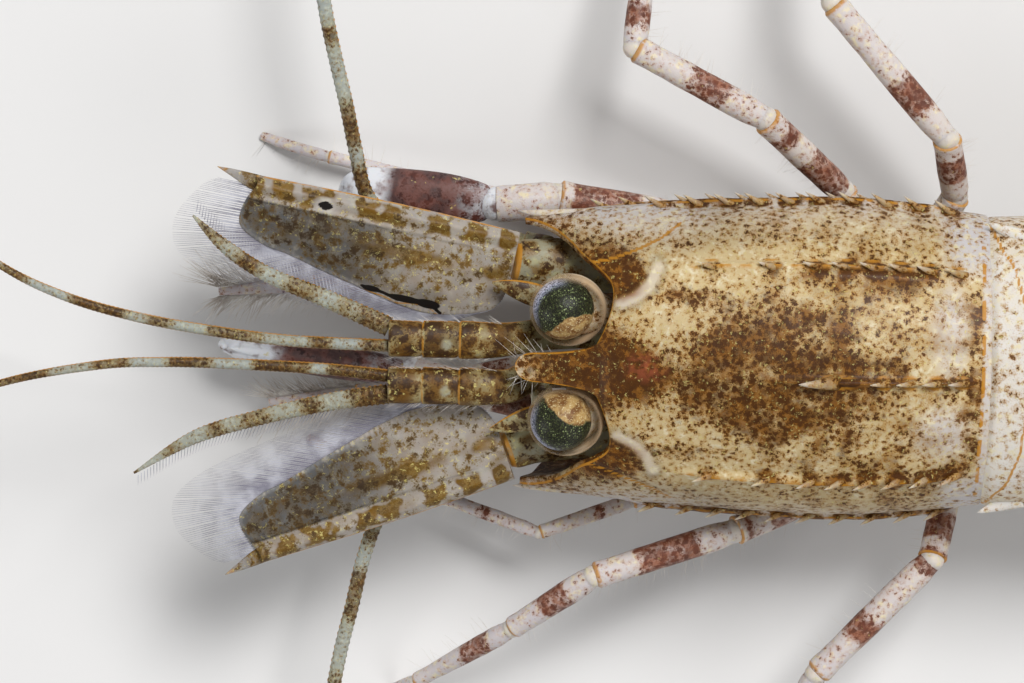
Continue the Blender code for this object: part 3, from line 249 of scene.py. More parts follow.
# Abdomen at each boundary: x, crest, half width, height of the widest level, lower edge, rise of the belly
ABDOMEN = (
    (19.2, 12.3, 6.1, 8.2, 4.95, 1.3),
    (20.3, 12.5, 6.2, 8.2, 4.9, 1.3),
    (26.5, 12.9, 6.15, 8.2, 4.2, 1.3),
    (35.0, 13.0, 5.8, 8.0, 3.6, 1.3),
    (44.0, 12.3, 5.15, 7.6, 3.2, 1.3),
    (51.5, 10.8, 4.45, 6.8, 2.7, 1.2),
    (58.5, 8.9, 3.75, 5.6, 2.2, 0.8),
    (69.0, 5.5, 2.8, 3.7, 1.5, 0.2),
)
ABDOMEN_BOUNDS = [row[0] for row in ABDOMEN[1:]]
SEGMENTS = 6
PLEURA_LEAN = (0.0, -1.3, 1.1, 0.5, 0.4, 0.3, 0.0)
PLEURA_RISE = 0.9
PLEURA_THICK = 0.6
ABDOMEN_KEELS = ((0.0, 0.0), (0.0, 0.15), (0.0, 0.22), (0.0, 0.24), (0.0, 0.2), (0.15, 0.2))
RING_DARK = (0.42, 0.42, 0.5, 0.4, 0.44, 0.42)
UNDERSIDE = {"brown": -0.15, "gold": 0.0, "lilac": 0.8}
HINGE_SPINE = ((21.7, 5.5, 9.75), (19.9, 6.3, 9.6))
# The gold line across the first ring's shoulder, seen from above: x and distance from the middle
HINGE_LINE = ((20.1, 6.1), (20.5, 5.3), (20.95, 4.75), (21.4, 3.4), (21.6, 1.5))
SWIMMERET_LENGTH = (4.3, 4.8, 4.8, 4.3, 3.8)
SWIMMERET_WIDTH = 2.2
SWIMMERET_DROP = 1.7
TELSON = (
    (69.3, 1.7, 4.2, 0.75), (72.5, 1.6, 3.4, 0.62), (76.5, 1.15, 2.7, 0.45), (80.0, 0.75, 2.35, 0.34),
    (82.6, 0.42, 2.2, 0.26),
)
TELSON_SPINES = (76.0, 79.2)
FAN_BLOCK = ((68.8, 1.9, 2.4, 0.78), (70.2, 2.15, 2.2, 0.9), (71.0, 2.3, 2.1, 0.76))
FAN_LENGTH = 10.6
# Blades on the right side: degrees of splay, width, root, height of the tip and places of the ribs
FAN = {
    "outer": (27.0, 4.0, (70.2, 2.5, 1.7), 0.25, (0.0, 0.55)),
    "inner": (13.0, 2.9, (71.0, 1.8, 2.4), 1.1, (0.0,)),
}
LEAF_STEPS = 60
LEAF_SHAPE = ((0.0, 0.3), (0.12, 0.58), (0.3, 0.86), (0.55, 1.0), (0.78, 0.94), (0.92, 0.68), (1.0, 0.3))

# The photograph's view: where the rostrum's tip shows, millimetres a pixel, and how the camera leans
PHOTO_SIZE = (1024, 683)
TIP_PIXEL = (515, 367)
PIXEL = 20 / 473
CAMERA_TILT = math.radians(11)
CAMERA_ROLL = math.radians(1.26)
CAMERA_AWAY = 260.0
TIP_HEIGHT = 11.5
SENSOR_WIDTH = 36
FLOOR_SIZE = 4.0
SKY_POWER = 0.25
# Lights: name, place in metres, size and power
LIGHTS = (
    ("key", (0.22, 0.50, 0.72), 0.32, 8.1),
    ("fill", (0.55, -0.60, 0.65), 0.75, 2.6),
    ("front", (-0.80, -0.25, 0.35), 0.35, 1.9),
)


def unit(vectors):
    """The vectors at a length of 1."""
    vectors = np.asarray(vectors, float)
    return vectors / np.maximum(np.linalg.norm(vectors, axis=-1, keepdims=True), 1e-9)


def ease(low, high, value):
    """0 below low, 1 above high, and a smooth step between them."""
    t = np.clip((np.asarray(value, float) - low) / (high - low), 0, 1)
    return t * t * (3 - 2 * t)


def fall(low, high, value):
    """1 below low, 0 above high, and a smooth step between them."""
    return 1 - ease(low, high, value)


def near(value, at, core, edge):
    """1 within core of a value and 0 farther off it than edge."""
    return 1 - ease(core, edge, np.abs(value - at))


def hump(value, at, width):
    """A rounded hump about a value, 1 at its top."""
    return np.exp(-((value - at) / width) ** 2)


def circle(count, start=0.5):
    """Cosines and sines of even steps round a circle. The first lies start steps from its right."""
    turn = 2 * np.pi * (np.arange(count) + start) / count
    return np.cos(turn), np.sin(turn)


def on_side(points, side):
    """Points given for the right side, or rows that begin with one, moved to side: 1 right, -1 left."""
    points = np.array(points, float)
    points[..., 1] *= side
    return points


def bent(before, a, b, after, t, slope_a=0.5, slope_b=0.5):
    """Points between a and b on smooth curves that also heed the points before and after them."""
    leave, arrive = (b - before) * slope_a, (after - a) * slope_b
    return (a * (2 * t**3 - 3 * t**2 + 1) + leave * (t**3 - 2 * t**2 + t)
            + b * (3 * t**2 - 2 * t**3) + arrive * (t**3 - t**2))


def between(table, x):
    """Each column of a table at x, on smooth curves through its rows. The first column is x."""
    table = np.asarray(table, float)
    last = len(table) - 1
    x = np.clip(x, table[0, 0], table[last, 0])
    i = np.clip(np.searchsorted(table[:, 0], x, side="right") - 1, 0, last - 1)
    a, b = table[i], table[i + 1]
    before, after = table[np.maximum(i - 1, 0)], table[np.minimum(i + 2, last)]
    span = b[..., :1] - a[..., :1]
    slopes = span / (b[..., :1] - before[..., :1]), span / (after[..., :1] - a[..., :1])
    value = bent(before, a, b, after, (x[..., None] - a[..., :1]) / span, *slopes)
    return [value[..., k] for k in range(1, table.shape[1])]


def route(points, step):
    """Points at equal steps on a smooth curve through the given rows, with any further columns."""
    rows = np.asarray(points, float)
    last = len(rows) - 1
    t = np.linspace(0, 1, 24, endpoint=False)[:, None]
    fine = [bent(rows[max(i - 1, 0)], rows[i], rows[i + 1], rows[min(i + 2, last)], t) for i in range(last)]
    fine = np.concatenate([*fine, rows[last:]])
    length = np.concatenate([[0], np.cumsum(np.linalg.norm(np.diff(fine[:, :3], axis=0), axis=1))])
    at = np.linspace(0, length[-1], max(2, round(length[-1] / step)))
    return np.stack([np.interp(at, length, column) for column in fine.T], axis=1)


def rough(points, size, octaves=3):
    """Smooth random heights from -1 to 1 at each point. size is the width of a bump in millimetres."""
    points = np.asarray(points, float)
    flat = [noise.fractal(Vector(p) / size, 1.0, 2.0, octaves) for p in points.reshape(-1, 3)]
    return np.array(flat).reshape(points.shape[:-1])


class Shape:
    """Points, faces and marks of one piece, gathered part by part. Marks are numbers that colour it."""

    def __init__(self):
        self.points, self.faces, self.marks, self.uvs, self.count = [], [], [], [], 0

    def add(self, points, faces, marks, uvs=None):
        """faces is a list of arrays, each with equally many corners to a face."""
        points = np.asarray(points, float).reshape(-1, 3)
        self.points.append(points)
        self.faces += [np.asarray(part) + self.count for part in faces]
        self.marks.append((len(points), marks))
        if uvs is not None:
            self.uvs.append(uvs)
        self.count += len(points)

    def skin(self, rings, caps=True, **marks):
        """A skin round rings of points, an array of rings x points x 3, closed by a fan at each end."""
        rings = np.asarray(rings, float)
        n, m = rings.shape[:2]
        i, j = np.meshgrid(np.arange(n - 1), np.arange(m), indexing="ij")
        after = (j + 1) % m
        corners = (i * m + j, i * m + after, (i + 1) * m + after, (i + 1) * m + j)
        faces = [np.stack(corners, axis=-1).reshape(-1, 4)]
        points = rings.reshape(-1, 3)
        if caps:
            points = np.vstack([points, rings[0].mean(axis=0), rings[-1].mean(axis=0)])
            j = np.arange(m)
            after = (j + 1) % m
            faces.append(np.stack([after, j, np.full(m, n * m)], axis=1))
            faces.append(np.stack([(n - 1) * m + j, (n - 1) * m + after, np.full(m, n * m + 1)], axis=1))
        filled = {}
        for mark, value in marks.items():
            value = np.asarray(value, float)
            value = np.broadcast_to(value[:, None] if value.ndim == 1 else value, (n, m))
            ends = [value[0].mean(), value[-1].mean()] if caps else []
            filled[mark] = np.append(value.ravel(), ends)
        self.add(points, faces, filled)

    def tube(self, joints, sides=12, flat=1.0, up=UP, **marks):
        """A round skin along rows of x, y, z and radius. flat is its height as a share of its width."""
        joints = np.asarray(joints, float)
        ahead = unit(np.gradient(joints[:, :3], axis=0))
        across = unit(np.cross(ahead, up))
        over = np.cross(across, ahead)
        c, s = circle(sides)
        ring = across[:, None] * c[:, None] + over[:, None] * (s * flat)[:, None]
        self.skin(joints[:, None, :3] + ring * joints[:, None, 3:4], **marks)

    def ball(self, centre, radius, sides=16, stretch=(1, 1, 1), marks=None, **even):
        """A ball with even marks, or with marks that a function works out from its points."""
        down = np.linspace(0.03, np.pi - 0.03, sides // 2 + 2)[:, None]
        c, s = circle(sides, 0)
        points = np.stack([np.sin(down) * c, np.sin(down) * s, np.cos(down) + 0 * c], axis=-1)
        points = np.asarray(centre) + points * radius * np.asarray(stretch)
        self.skin(points, **(marks(points) if marks else even))

    def horn(self, base, tip, radius, bow=0.0, flat=1.0, sides=10, up=UP, **marks):
        """A pointed, slightly bowed cone from base to tip."""
        base, tip = np.asarray(base, float), np.asarray(tip, float)
        t = np.linspace(0, 1, 9)[:, None]
        lift = np.asarray(up) * bow * np.linalg.norm(tip - base) * (4 * t * (1 - t))
        width = radius * (1 - t) ** 0.8 + 0.012
        self.tube(np.hstack([base + (tip - base) * t + lift, width]), sides, flat, up, **marks)

    def hairs(self, roots, aims, lengths, radius=0.02, sag=0.0, rings=5):
        """Tapered bristles from roots along aims. sag is their droop, as a share of their length."""
        roots, aims = np.asarray(roots, float), unit(aims)
        lengths = np.broadcast_to(np.asarray(lengths, float), len(roots))
        radius = np.broadcast_to(np.asarray(radius, float), len(roots))
        n, sides = len(roots), 3
        t = np.linspace(0, 1, rings)
        centre = roots[:, None] + aims[:, None] * (lengths[:, None] * t)[..., None]
        centre = centre - UP * (sag * lengths[:, None] * t**2)[..., None]
        side = unit(np.cross(aims, UP + 0.01))
        over = np.cross(side, aims)
        c, s = circle(sides, 0)
        ring = side[:, None] * c[:, None] + over[:, None] * s[:, None]
        thin = radius[:, None] * (1 - 0.82 * t)
        points = centre[:, :, None] + ring[:, None] * thin[:, :, None, None]
        k, i, j = np.meshgrid(np.arange(n), np.arange(rings - 1), np.arange(sides), indexing="ij")
        start, after = k * rings * sides + i * sides, (j + 1) % sides
        corners = (start + j, start + after, start + sides + after, start + sides + j)
        whole = np.arange(n)[:, None] * rings * sides
        ends = np.vstack([whole + [2, 1, 0], whole + (rings - 1) * sides + [0, 1, 2]])
        low, high = roots.min(axis=0)[:2], roots.max(axis=0)[:2]
        spot = (roots[:, :2] - low) / np.maximum(high - low, 1e-6) * 0.98 + 0.01
        patch = np.stack(np.meshgrid(t * 0.003, np.linspace(0, 0.003, sides), indexing="ij"), axis=-1)
        uvs = (spot[:, None, None] + patch[None]).reshape(-1, 2)
        self.add(points, [np.stack(corners, axis=-1).reshape(-1, 4), ends], {}, uvs)

    def make(self, name, look, slot, *nodes):
        """Turns the shape into an object on the frame, in place of those solids."""
        mesh = bpy.data.meshes.new(name)
        points = np.concatenate(self.points)
        points[:, 2] = np.maximum(points[:, 2], FLOOR_CLEARANCE)
        faces = [face for part in self.faces for face in part.tolist()]
        mesh.from_pydata((points * MM + SHIFT).tolist(), [], faces)
        shape = bmesh.new()
        shape.from_mesh(mesh)
        bmesh.ops.recalc_face_normals(shape, faces=shape.faces)
        shape.to_mesh(mesh)
        shape.free()
        for mark in MARKS:
            values = np.concatenate([marks.get(mark, np.zeros(count)) for count, marks in self.marks])
            if values.any():
                mesh.attributes.new(mark, "FLOAT", "POINT").data.foreach_set("value", values)
        if self.uvs:
            corners = np.zeros(len(mesh.loops), int)
            mesh.loops.foreach_get("vertex_index", corners)
            layer = mesh.uv_layers.new(name="OFBake")
            layer.data.foreach_set("uv", np.concatenate(self.uvs)[corners].ravel())
        mesh.polygons.foreach_set("use_smooth", np.ones(len(mesh.polygons), bool))
        mesh.materials.append(look)
        made = bpy.data.objects.new(name, mesh)
        bpy.context.scene.collection.objects.link(made)
        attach(made, "root")
        if nodes:
            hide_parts(*nodes)
        return made


class Graph:
    """Builds the nodes of one material. Each method gives the socket that it makes."""

    def __init__(self, name):
        self.material = bpy.data.materials.new(name)
        self.material.use_nodes = True
        self.tree = self.material.node_tree
        self.shader = self.tree.nodes["Principled BSDF"]
        self.place = self.vector("SCALE", self.node("ShaderNodeTexCoord").outputs["Object"], 1 / MM)

    def feed(self, socket, value):
        if isinstance(value, bpy.types.NodeSocket):
            self.tree.links.new(value, socket)
        else:
            socket.default_value = value

    def node(self, kind, inputs=(), **settings):
        made = self.tree.nodes.new(kind)
        for key, value in settings.items():
            setattr(made, key, value)
        for key, value in dict(inputs).items():
            self.feed(made.inputs[key], value)
        return made

    def vector(self, operation, a, b):
        made = self.node("ShaderNodeVectorMath", operation=operation)
        self.feed(made.inputs[0], a)
        self.feed(made.inputs["Scale" if operation == "SCALE" else 1], b)
        return made.outputs[0]

    def math(self, operation, *values, clamp=False):
        made = self.node("ShaderNodeMath", operation=operation, use_clamp=clamp)
        for socket, value in zip(made.inputs, values):
            self.feed(socket, value)
        return made.outputs[0]

    def most(self, value, *others):
        """The greatest of several values."""
        for other in others:
            value = self.math("MAXIMUM", value, other)
        return value

    def about(self, value, gain):
        """A value from 0 to 1 turned into one about 0, from -gain/2 to gain/2."""
        return self.math("MULTIPLY_ADD", value, gain, -gain / 2)

    def noise(self, size, detail=3.0, place=None):
        return self.node("ShaderNodeTexNoise", {"Vector": place or self.place, "Scale": 1 / size,
                                                "Detail": detail}).outputs

    def cells(self, size, place=None):
        """Distance to the nearest of many scattered points, in cells, and a random number for each."""
        made = self.node("ShaderNodeTexVoronoi", {"Vector": place or self.place, "Scale": 1 / size})
        parted = self.node("ShaderNodeSeparateColor", {"Color": made.outputs["Color"]})
        return made.outputs["Distance"], parted.outputs[0]

    def step(self, low, high, value):
        made = self.node("ShaderNodeMapRange", {"Value": value, "From Min": low, "From Max": high},
                         interpolation_type="SMOOTHSTEP")
        return made.outputs["Result"]

    def mix(self, factor, a, b):
        made = self.node("ShaderNodeMix", data_type="RGBA")
        for index, value in ((0, factor), (6, a), (7, b)):
            if isinstance(value, tuple):
                value = (*value, 1)
            self.feed(made.inputs[index], value)
        return made.outputs[2]

    def mark(self, name):
        return self.node("ShaderNodeAttribute", attribute_name=name).outputs["Fac"]

    def bump(self, height, strength, depth):
        made = self.node("ShaderNodeBump", {"Height": height, "Strength": strength, "Distance": depth * MM})
        self.feed(self.shader.inputs["Normal"], made.outputs["Normal"])

    def finish(self, **values):
        for key, value in values.items():
            if isinstance(value, tuple) and len(value) == 3 and key != "Subsurface_Radius":
                value = (*value, 1)
            self.feed(self.shader.inputs[key.replace("_", " ")], value)
        return self.material


# Colours, from the photograph: linear red, green and blue
CREAM = (0.56, 0.435, 0.235)
IVORY = (0.68, 0.60, 0.41)
LILAC = (0.56, 0.53, 0.53)
BROWN = (0.060, 0.019, 0.002)
TAN = (0.20, 0.072, 0.006)
HALO = (0.37, 0.185, 0.026)
EARTH = (0.22, 0.072, 0.005)
AMBER = (0.17, 0.083, 0.005)
RUST = (0.42, 0.10, 0.045)
GOLD = (0.46, 0.20, 0.015)
YELLOW = (0.58, 0.49, 0.17)
BLACK = (0.008, 0.006, 0.005)
ROUGHNESS = 0.5


def pigmented(name, cream, lilac, dark, warm, speck, clear=None, relief=0.4, yellow=0.3, glow=0.1,
              around=HALO, bright=IVORY, under=EARTH, shine=0.25, blur=0.0):
    """Cuticle strewn with ragged brown colour cells, each with a tawny halo, over a pale ground.

    speck is the width of a colour cell in millimetres, clear how opaque the ground is, and yellow the
    share of cells with a yellow fleck. blur softens the edge of the cells, and the other colours are those
    of the cells, their halos, the ground's bright patches and the ground under dense brown.
    """
    g = Graph(name)
    cloud, mid, fine = g.noise(speck * 6, 3), g.noise(speck * 1.3, 5), g.noise(speck * 0.26, 3)
    shake = g.vector("SCALE", g.vector("SUBTRACT", mid["Color"], (0.5, 0.5, 0.5)), speck * 1.6)
    ruffle = g.vector("SCALE", g.vector("SUBTRACT", fine["Color"], (0.5, 0.5, 0.5)), speck * 1.2)
    place = g.vector("ADD", g.vector("ADD", g.place, shake), ruffle)
    density = g.math("ADD", g.mark("brown"), g.about(cloud["Fac"], 1.05))
    murk = g.math("MULTIPLY_ADD", density, 0.9, g.about(mid["Fac"], 1.7))
    clouds = g.step(0.45, 1.1, murk)
    near, chance = g.cells(speck, place)
    reach = g.math("MULTIPLY_ADD", density, 0.46, 0.05)
    inside = g.math("SUBTRACT", g.math("MULTIPLY_ADD", chance, 0.24, reach), near)
    stars, halo = g.step(-blur, 0.14, inside), g.step(-0.38, 0.1, inside)
    close, odds = g.cells(speck * 0.42, place)
    small = g.math("MULTIPLY_ADD", density, 0.4, g.math("MULTIPLY_ADD", odds, 0.3, -0.1))
    dots = g.step(0.0, 0.16, g.math("SUBTRACT", small, close))
    bare = g.math("SUBTRACT", 1.0, g.mark("pale"), clamp=True)
    pigment = g.math("MULTIPLY", g.most(g.math("MULTIPLY", clouds, 0.8), stars, dots), bare)
    tone = g.step(0.38, 0.62, g.noise(speck * 1.9, 4, place)["Fac"])
    ground = g.mix(g.math("ADD", g.mark("lilac"), g.about(cloud["Fac"], 0.6), clamp=True), cream, lilac)
    ground = g.mix(g.step(0.5, 0.7, mid["Fac"]), ground, bright)
    ground = g.mix(g.math("MULTIPLY", g.step(0.7, 1.3, density), 0.85), ground, under)
    grade = g.step(0.35, 0.65, g.noise(speck * 2.5, 4, place)["Fac"])
    tint = g.math("MULTIPLY", g.mark("amber"), g.math("MULTIPLY_ADD", grade, 0.3, 0.65), clamp=True)
    ground = g.mix(tint, ground, g.mix(g.math("MULTIPLY", grade, tint), AMBER, under))
    haze = g.math("MULTIPLY", g.math("MULTIPLY", halo, 0.75), bare)
    ground = g.mix(haze, ground, around)
    colour = g.mix(g.math("MULTIPLY", pigment, 0.95), ground, g.mix(tone, dark, warm))
    heart = g.math("MULTIPLY", g.step(0.05, 0.3 + blur, inside), bare)
    colour = g.mix(g.math("MULTIPLY", heart, 0.85), colour, dark)
    apart, luck = g.cells(speck * 0.7, place)
    fleck = g.math("SUBTRACT", 1.0, g.step(0.1, 0.36, apart))
    fleck = g.math("MULTIPLY", g.math("MULTIPLY", fleck, 0.85), g.step(1 - yellow, 1 - yellow * 0.8, luck))
    colour = g.mix(fleck, colour, YELLOW)
    blush = g.math("MULTIPLY", g.mark("red"), g.step(0.4, 0.6, mid["Fac"]))
    colour = g.mix(g.math("MULTIPLY", blush, 0.5), colour, RUST)
    gold = g.math("MULTIPLY", g.step(0.3, 0.6, g.mark("gold")), g.step(0.3, 0.5, mid["Fac"]))
    colour = g.mix(g.math("MULTIPLY", gold, 0.9), colour, GOLD)
    hole = g.step(0.35, 0.65, g.mark("dark"))
    colour = g.mix(g.most(hole, g.mark("shade")), colour, BLACK)
    g.bump(g.math("MULTIPLY_ADD", fine["Fac"], 0.7, mid["Fac"]), relief, 0.05)
    values = {}
    if clear is not None:
        opaque = g.most(pigment, gold, g.mark("pale"), fleck, hole, tint)
        values["Alpha"] = g.math("MULTIPLY_ADD", opaque, 0.97 - clear, clear)
    return g.finish(
        Base_Color=colour, Roughness=g.math("ADD", ROUGHNESS, g.about(fine["Fac"], 0.3)), Metallic=0.0,
        Specular_IOR_Level=shine, Coat_Weight=0.03, Coat_Roughness=0.15, Subsurface_Weight=glow,
        Subsurface_Radius=(0.5 * MM, 0.3 * MM, 0.15 * MM), Subsurface_Scale=1.0, **values)


def eye_core_look():
    """The dark, granular heart of the eye with its violet front rim, and the pale tissue behind it."""
    g = Graph("eye_core")
    grain, coarse = g.noise(0.08, 4), g.noise(0.45, 4)
    near, luck = g.cells(0.085)
    glint = g.math("MULTIPLY", g.math("SUBTRACT", 1.0, g.step(0.15, 0.5, near)), g.step(0.35, 0.7, luck))
    glint = g.math("MULTIPLY", glint, g.step(0.38, 0.62, coarse["Fac"]))
    green = g.mix(g.step(0.45, 0.75, grain["Fac"]), (0.003, 0.006, 0.003), (0.045, 0.060, 0.018))
    green = g.mix(glint, green, (0.34, 0.42, 0.18))
    violet = g.mix(g.step(0.35, 0.6, grain["Fac"]), (0.16, 0.22, 0.42), (0.58, 0.62, 0.80))
    pale = g.mix(g.step(0.4, 0.6, coarse["Fac"]), (0.42, 0.27, 0.10), (0.16, 0.065, 0.015))
    pale = g.mix(g.step(0.52, 0.7, grain["Fac"]), pale, (0.60, 0.48, 0.26))
    colour = g.mix(g.math("MULTIPLY", g.mark("lilac"), g.step(0.3, 0.55, grain["Fac"])), green, violet)
    cup = g.math("ADD", g.mark("pale"), g.about(coarse["Fac"], 1.6))
    colour = g.mix(g.step(0.35, 0.65, cup), colour, pale)
    g.bump(g.math("ADD", near, grain["Fac"]), 0.5, 0.02)
    return g.finish(Base_Color=colour, Roughness=0.4, Metallic=0.0, Specular_IOR_Level=0.2, Coat_Weight=0.0)


def cornea_look():
    """Clear facets with painted edge reflection: denser and gold round the eye's middle, most toward the
    stalk.
    """
    g = Graph("cornea")
    grain = g.noise(0.25, 3)["Fac"]
    colour = g.mix(grain, (0.62, 0.41, 0.22), (0.78, 0.60, 0.40))
    # The gold and lilac marks are painted edge reflection round the eye's outline, over the cornea's own
    # beige
    colour = g.mix(g.mark("gold"), colour, (0.80, 0.66, 0.46))
    rim = g.math("MULTIPLY_ADD", g.mark("lilac"), 0.72, 0.015)
    alpha = g.math("MULTIPLY_ADD", g.mark("gold"), 0.45, rim)
    g.bump(g.cells(0.09)[0], 0.12, 0.01)
    return g.finish(Base_Color=colour, Alpha=alpha, Roughness=0.12, Metallic=0.0, Coat_Weight=0.0)


def bristle_look(name, pale, dark):
    """Fine setae, lighter and darker in turn."""
    g = Graph(name)
    tone = g.step(0.35, 0.65, g.noise(0.9, 3)["Fac"])
    return g.finish(Base_Color=g.mix(tone, dark, pale), Alpha=1.0, Roughness=0.5, Metallic=0.0)


SHELL = pigmented("shell", CREAM, LILAC, BROWN, TAN, 0.25, yellow=0.4, shine=0.15)
RINGS = pigmented("abdomen_shell", CREAM, (0.66, 0.63, 0.59), BROWN, TAN, 0.3, yellow=0.2, shine=0.2)
LIMB = pigmented(
    "limb", (0.62, 0.55, 0.48), (0.50, 0.47, 0.52), (0.10, 0.032, 0.018), (0.24, 0.085, 0.042), 0.24,
    yellow=0.08, glow=0.2, around=(0.46, 0.30, 0.22), under=(0.20, 0.075, 0.045))
CLAW = pigmented(
    "claw", (0.66, 0.67, 0.70), (0.070, 0.036, 0.034), (0.03, 0.012, 0.012), (0.065, 0.028, 0.024), 0.5,
    yellow=0.06, around=(0.11, 0.060, 0.054), bright=(0.17, 0.11, 0.105), under=(0.055, 0.026, 0.025))
STALK = pigmented(
    "stalk", (0.36, 0.31, 0.14), (0.33, 0.33, 0.25), (0.035, 0.013, 0.002), (0.12, 0.050, 0.004), 0.48,
    clear=0.9, yellow=0.5, around=(0.25, 0.145, 0.03), bright=(0.48, 0.46, 0.26), under=(0.15, 0.060, 0.005),
    blur=0.1)
WHIP = pigmented(
    "whip", (0.34, 0.33, 0.22), (0.33, 0.36, 0.34), (0.040, 0.016, 0.002), (0.14, 0.058, 0.005), 0.16,
    clear=0.87, yellow=0.35, around=(0.24, 0.16, 0.05), bright=(0.44, 0.46, 0.38), under=(0.15, 0.062, 0.006))
# The second ground colour, a dark grey, is partly the blades' own tint and partly painted shade: the dark
# ground seen through their glassy tips
CLEAR = pigmented(
    "clear", (0.43, 0.385, 0.34), (0.17, 0.175, 0.18), (0.050, 0.022, 0.003), (0.16, 0.080, 0.006), 0.36,
    clear=0.74, yellow=0.65, relief=0.3, around=(0.27, 0.19, 0.065), bright=(0.46, 0.43, 0.36),
    under=(0.10, 0.050, 0.005), blur=0.22)
BLADE = pigmented("blade", (0.60, 0.52, 0.36), (0.60, 0.58, 0.54), BROWN, TAN, 0.26, clear=0.78, relief=0.3)
CORE = eye_core_look()
CORNEA = cornea_look()
BRISTLE = bristle_look("bristle", (0.50, 0.50, 0.56), (0.24, 0.23, 0.28))
PALE_BRISTLE = bristle_look("pale_bristle", (0.80, 0.76, 0.70), (0.56, 0.50, 0.44))


def blob(x, y, centre, size, soft=0.35):
    """1 inside an ellipse and 0 outside it, with a soft edge."""
    away = np.hypot((x - centre[0]) / size[0], (y - centre[1]) / size[1])
    return fall(1 - soft, 1 + soft, away)


def stroke(x, y, points, width):
    """1 on a line through points and 0 farther off it than its width."""
    away = np.full(np.shape(x), 1e9)
    for (x0, y0), (x1, y1) in zip(points, points[1:]):
        length = (x1 - x0) ** 2 + (y1 - y0) ** 2
        t = np.clip(((x - x0) * (x1 - x0) + (y - y0) * (y1 - y0)) / length, 0, 1)
        away = np.minimum(away, np.hypot(x - x0 - t * (x1 - x0), y - y0 - t * (y1 - y0)))
    return fall(width * 0.5, width * 1.5, away)


def side_points(x, share, lift=0.0):
    """Points of the carapace's right side, share 0 on the crest to 1 on the lower edge, lifted off it."""
    crest, half, foot = between(CARAPACE, x)
    rise = crest - WIDEST_Z
    upper = share <= WIDEST_AT
    turn = np.where(upper, share / WIDEST_AT, (share - WIDEST_AT) / (1 - WIDEST_AT)) * np.pi / 2
    s, c = np.clip(np.sin(turn), 0, 1), np.clip(np.cos(turn), 0, 1)
    y = np.where(upper, half * s ** (2 / ARCH), foot + (half - foot) * c)
    z = np.where(upper, WIDEST_Z + rise * c ** (2 / ARCH), WIDEST_Z - (WIDEST_Z - CARAPACE_FLOOR_Z) * s)
    out = np.stack([0 * x, np.where(upper, s / half, c), np.where(upper, c / rise, -0.35 * s)], axis=-1)
    return np.stack([x, y, z], axis=-1) + unit(out) * np.asarray(lift)[..., None]


def keel_lift(x, share):
    """How high the keels raise the carapace at each point."""
    total = 0.0
    for at, height, first, last in KEELS:
        along = np.clip((x - first) / 2, 0, 1) * np.clip(last - x, 0, 1)
        total = total + height * along * np.clip(1 - np.abs(share - at) / KEEL_SHARE, 0, 1) ** 1.3
    return total


# Places on the carapace, seen from above: x and y of the centre, and half sizes. From AMBER_FIELD on they
# show on both sides, and so do the lines
SADDLE = ((10.6, 0.1), (4.9, 2.7))
FOREHEAD = ((3.1, 0.0), (3.5, 2.3))
WAIST = ((6.5, 0.3), (0.8, 1.6))
RED_SPOT = ((5.5, 0.3), (0.7, 0.5))
WHITE_RIGHT = ((18.3, 2.1), (0.8, 1.8))
WHITE_LEFT = ((18.1, -2.3), (1.1, 1.2))
AMBER_FIELD = ((15.0, 3.0), (4.5, 3.0))
MOTTLED_CHEEK = ((5.2, 6.0), (2.6, 0.9))
REAR_CORNER = ((19.1, 5.4), (1.0, 1.1))
EYE_BAR = ((4.4, 2.85), (5.0, 3.15), (5.6, 3.65), (5.95, 4.4))
CHEEK_LINE = ((2.5, 4.2), (3.8, 4.5), (5.0, 4.95), (6.0, 5.4), (6.9, 6.0))
# How much browner such a place is, the place, and how soft its edge is
SIDE_BROWNS = (
    (0.8, ((3.9, 3.9), (1.7, 1.0)), 0.5),
    (0.2, ((3.0, 5.4), (2.2, 0.7)), 0.6),
    (0.5, ((7.0, 3.35), (1.3, 0.4)), 0.7),
    (0.35, ((6.4, 5.4), (1.4, 0.45)), 0.7),
    (0.16, ((16.2, 3.4), (2.6, 1.5)), 0.6),
    (-0.3, ((8.0, 4.7), (2.6, 0.9)), 0.6),
    (-0.25, ((6.9, 2.6), (1.6, 0.9)), 0.7),
    (-0.55, MOTTLED_CHEEK, 0.6),
    (-0.3, REAR_CORNER, 0.6),
)
REAR_STRIP_X = 19.0
DASH_X = 19.72
EDGE_X = 19.8


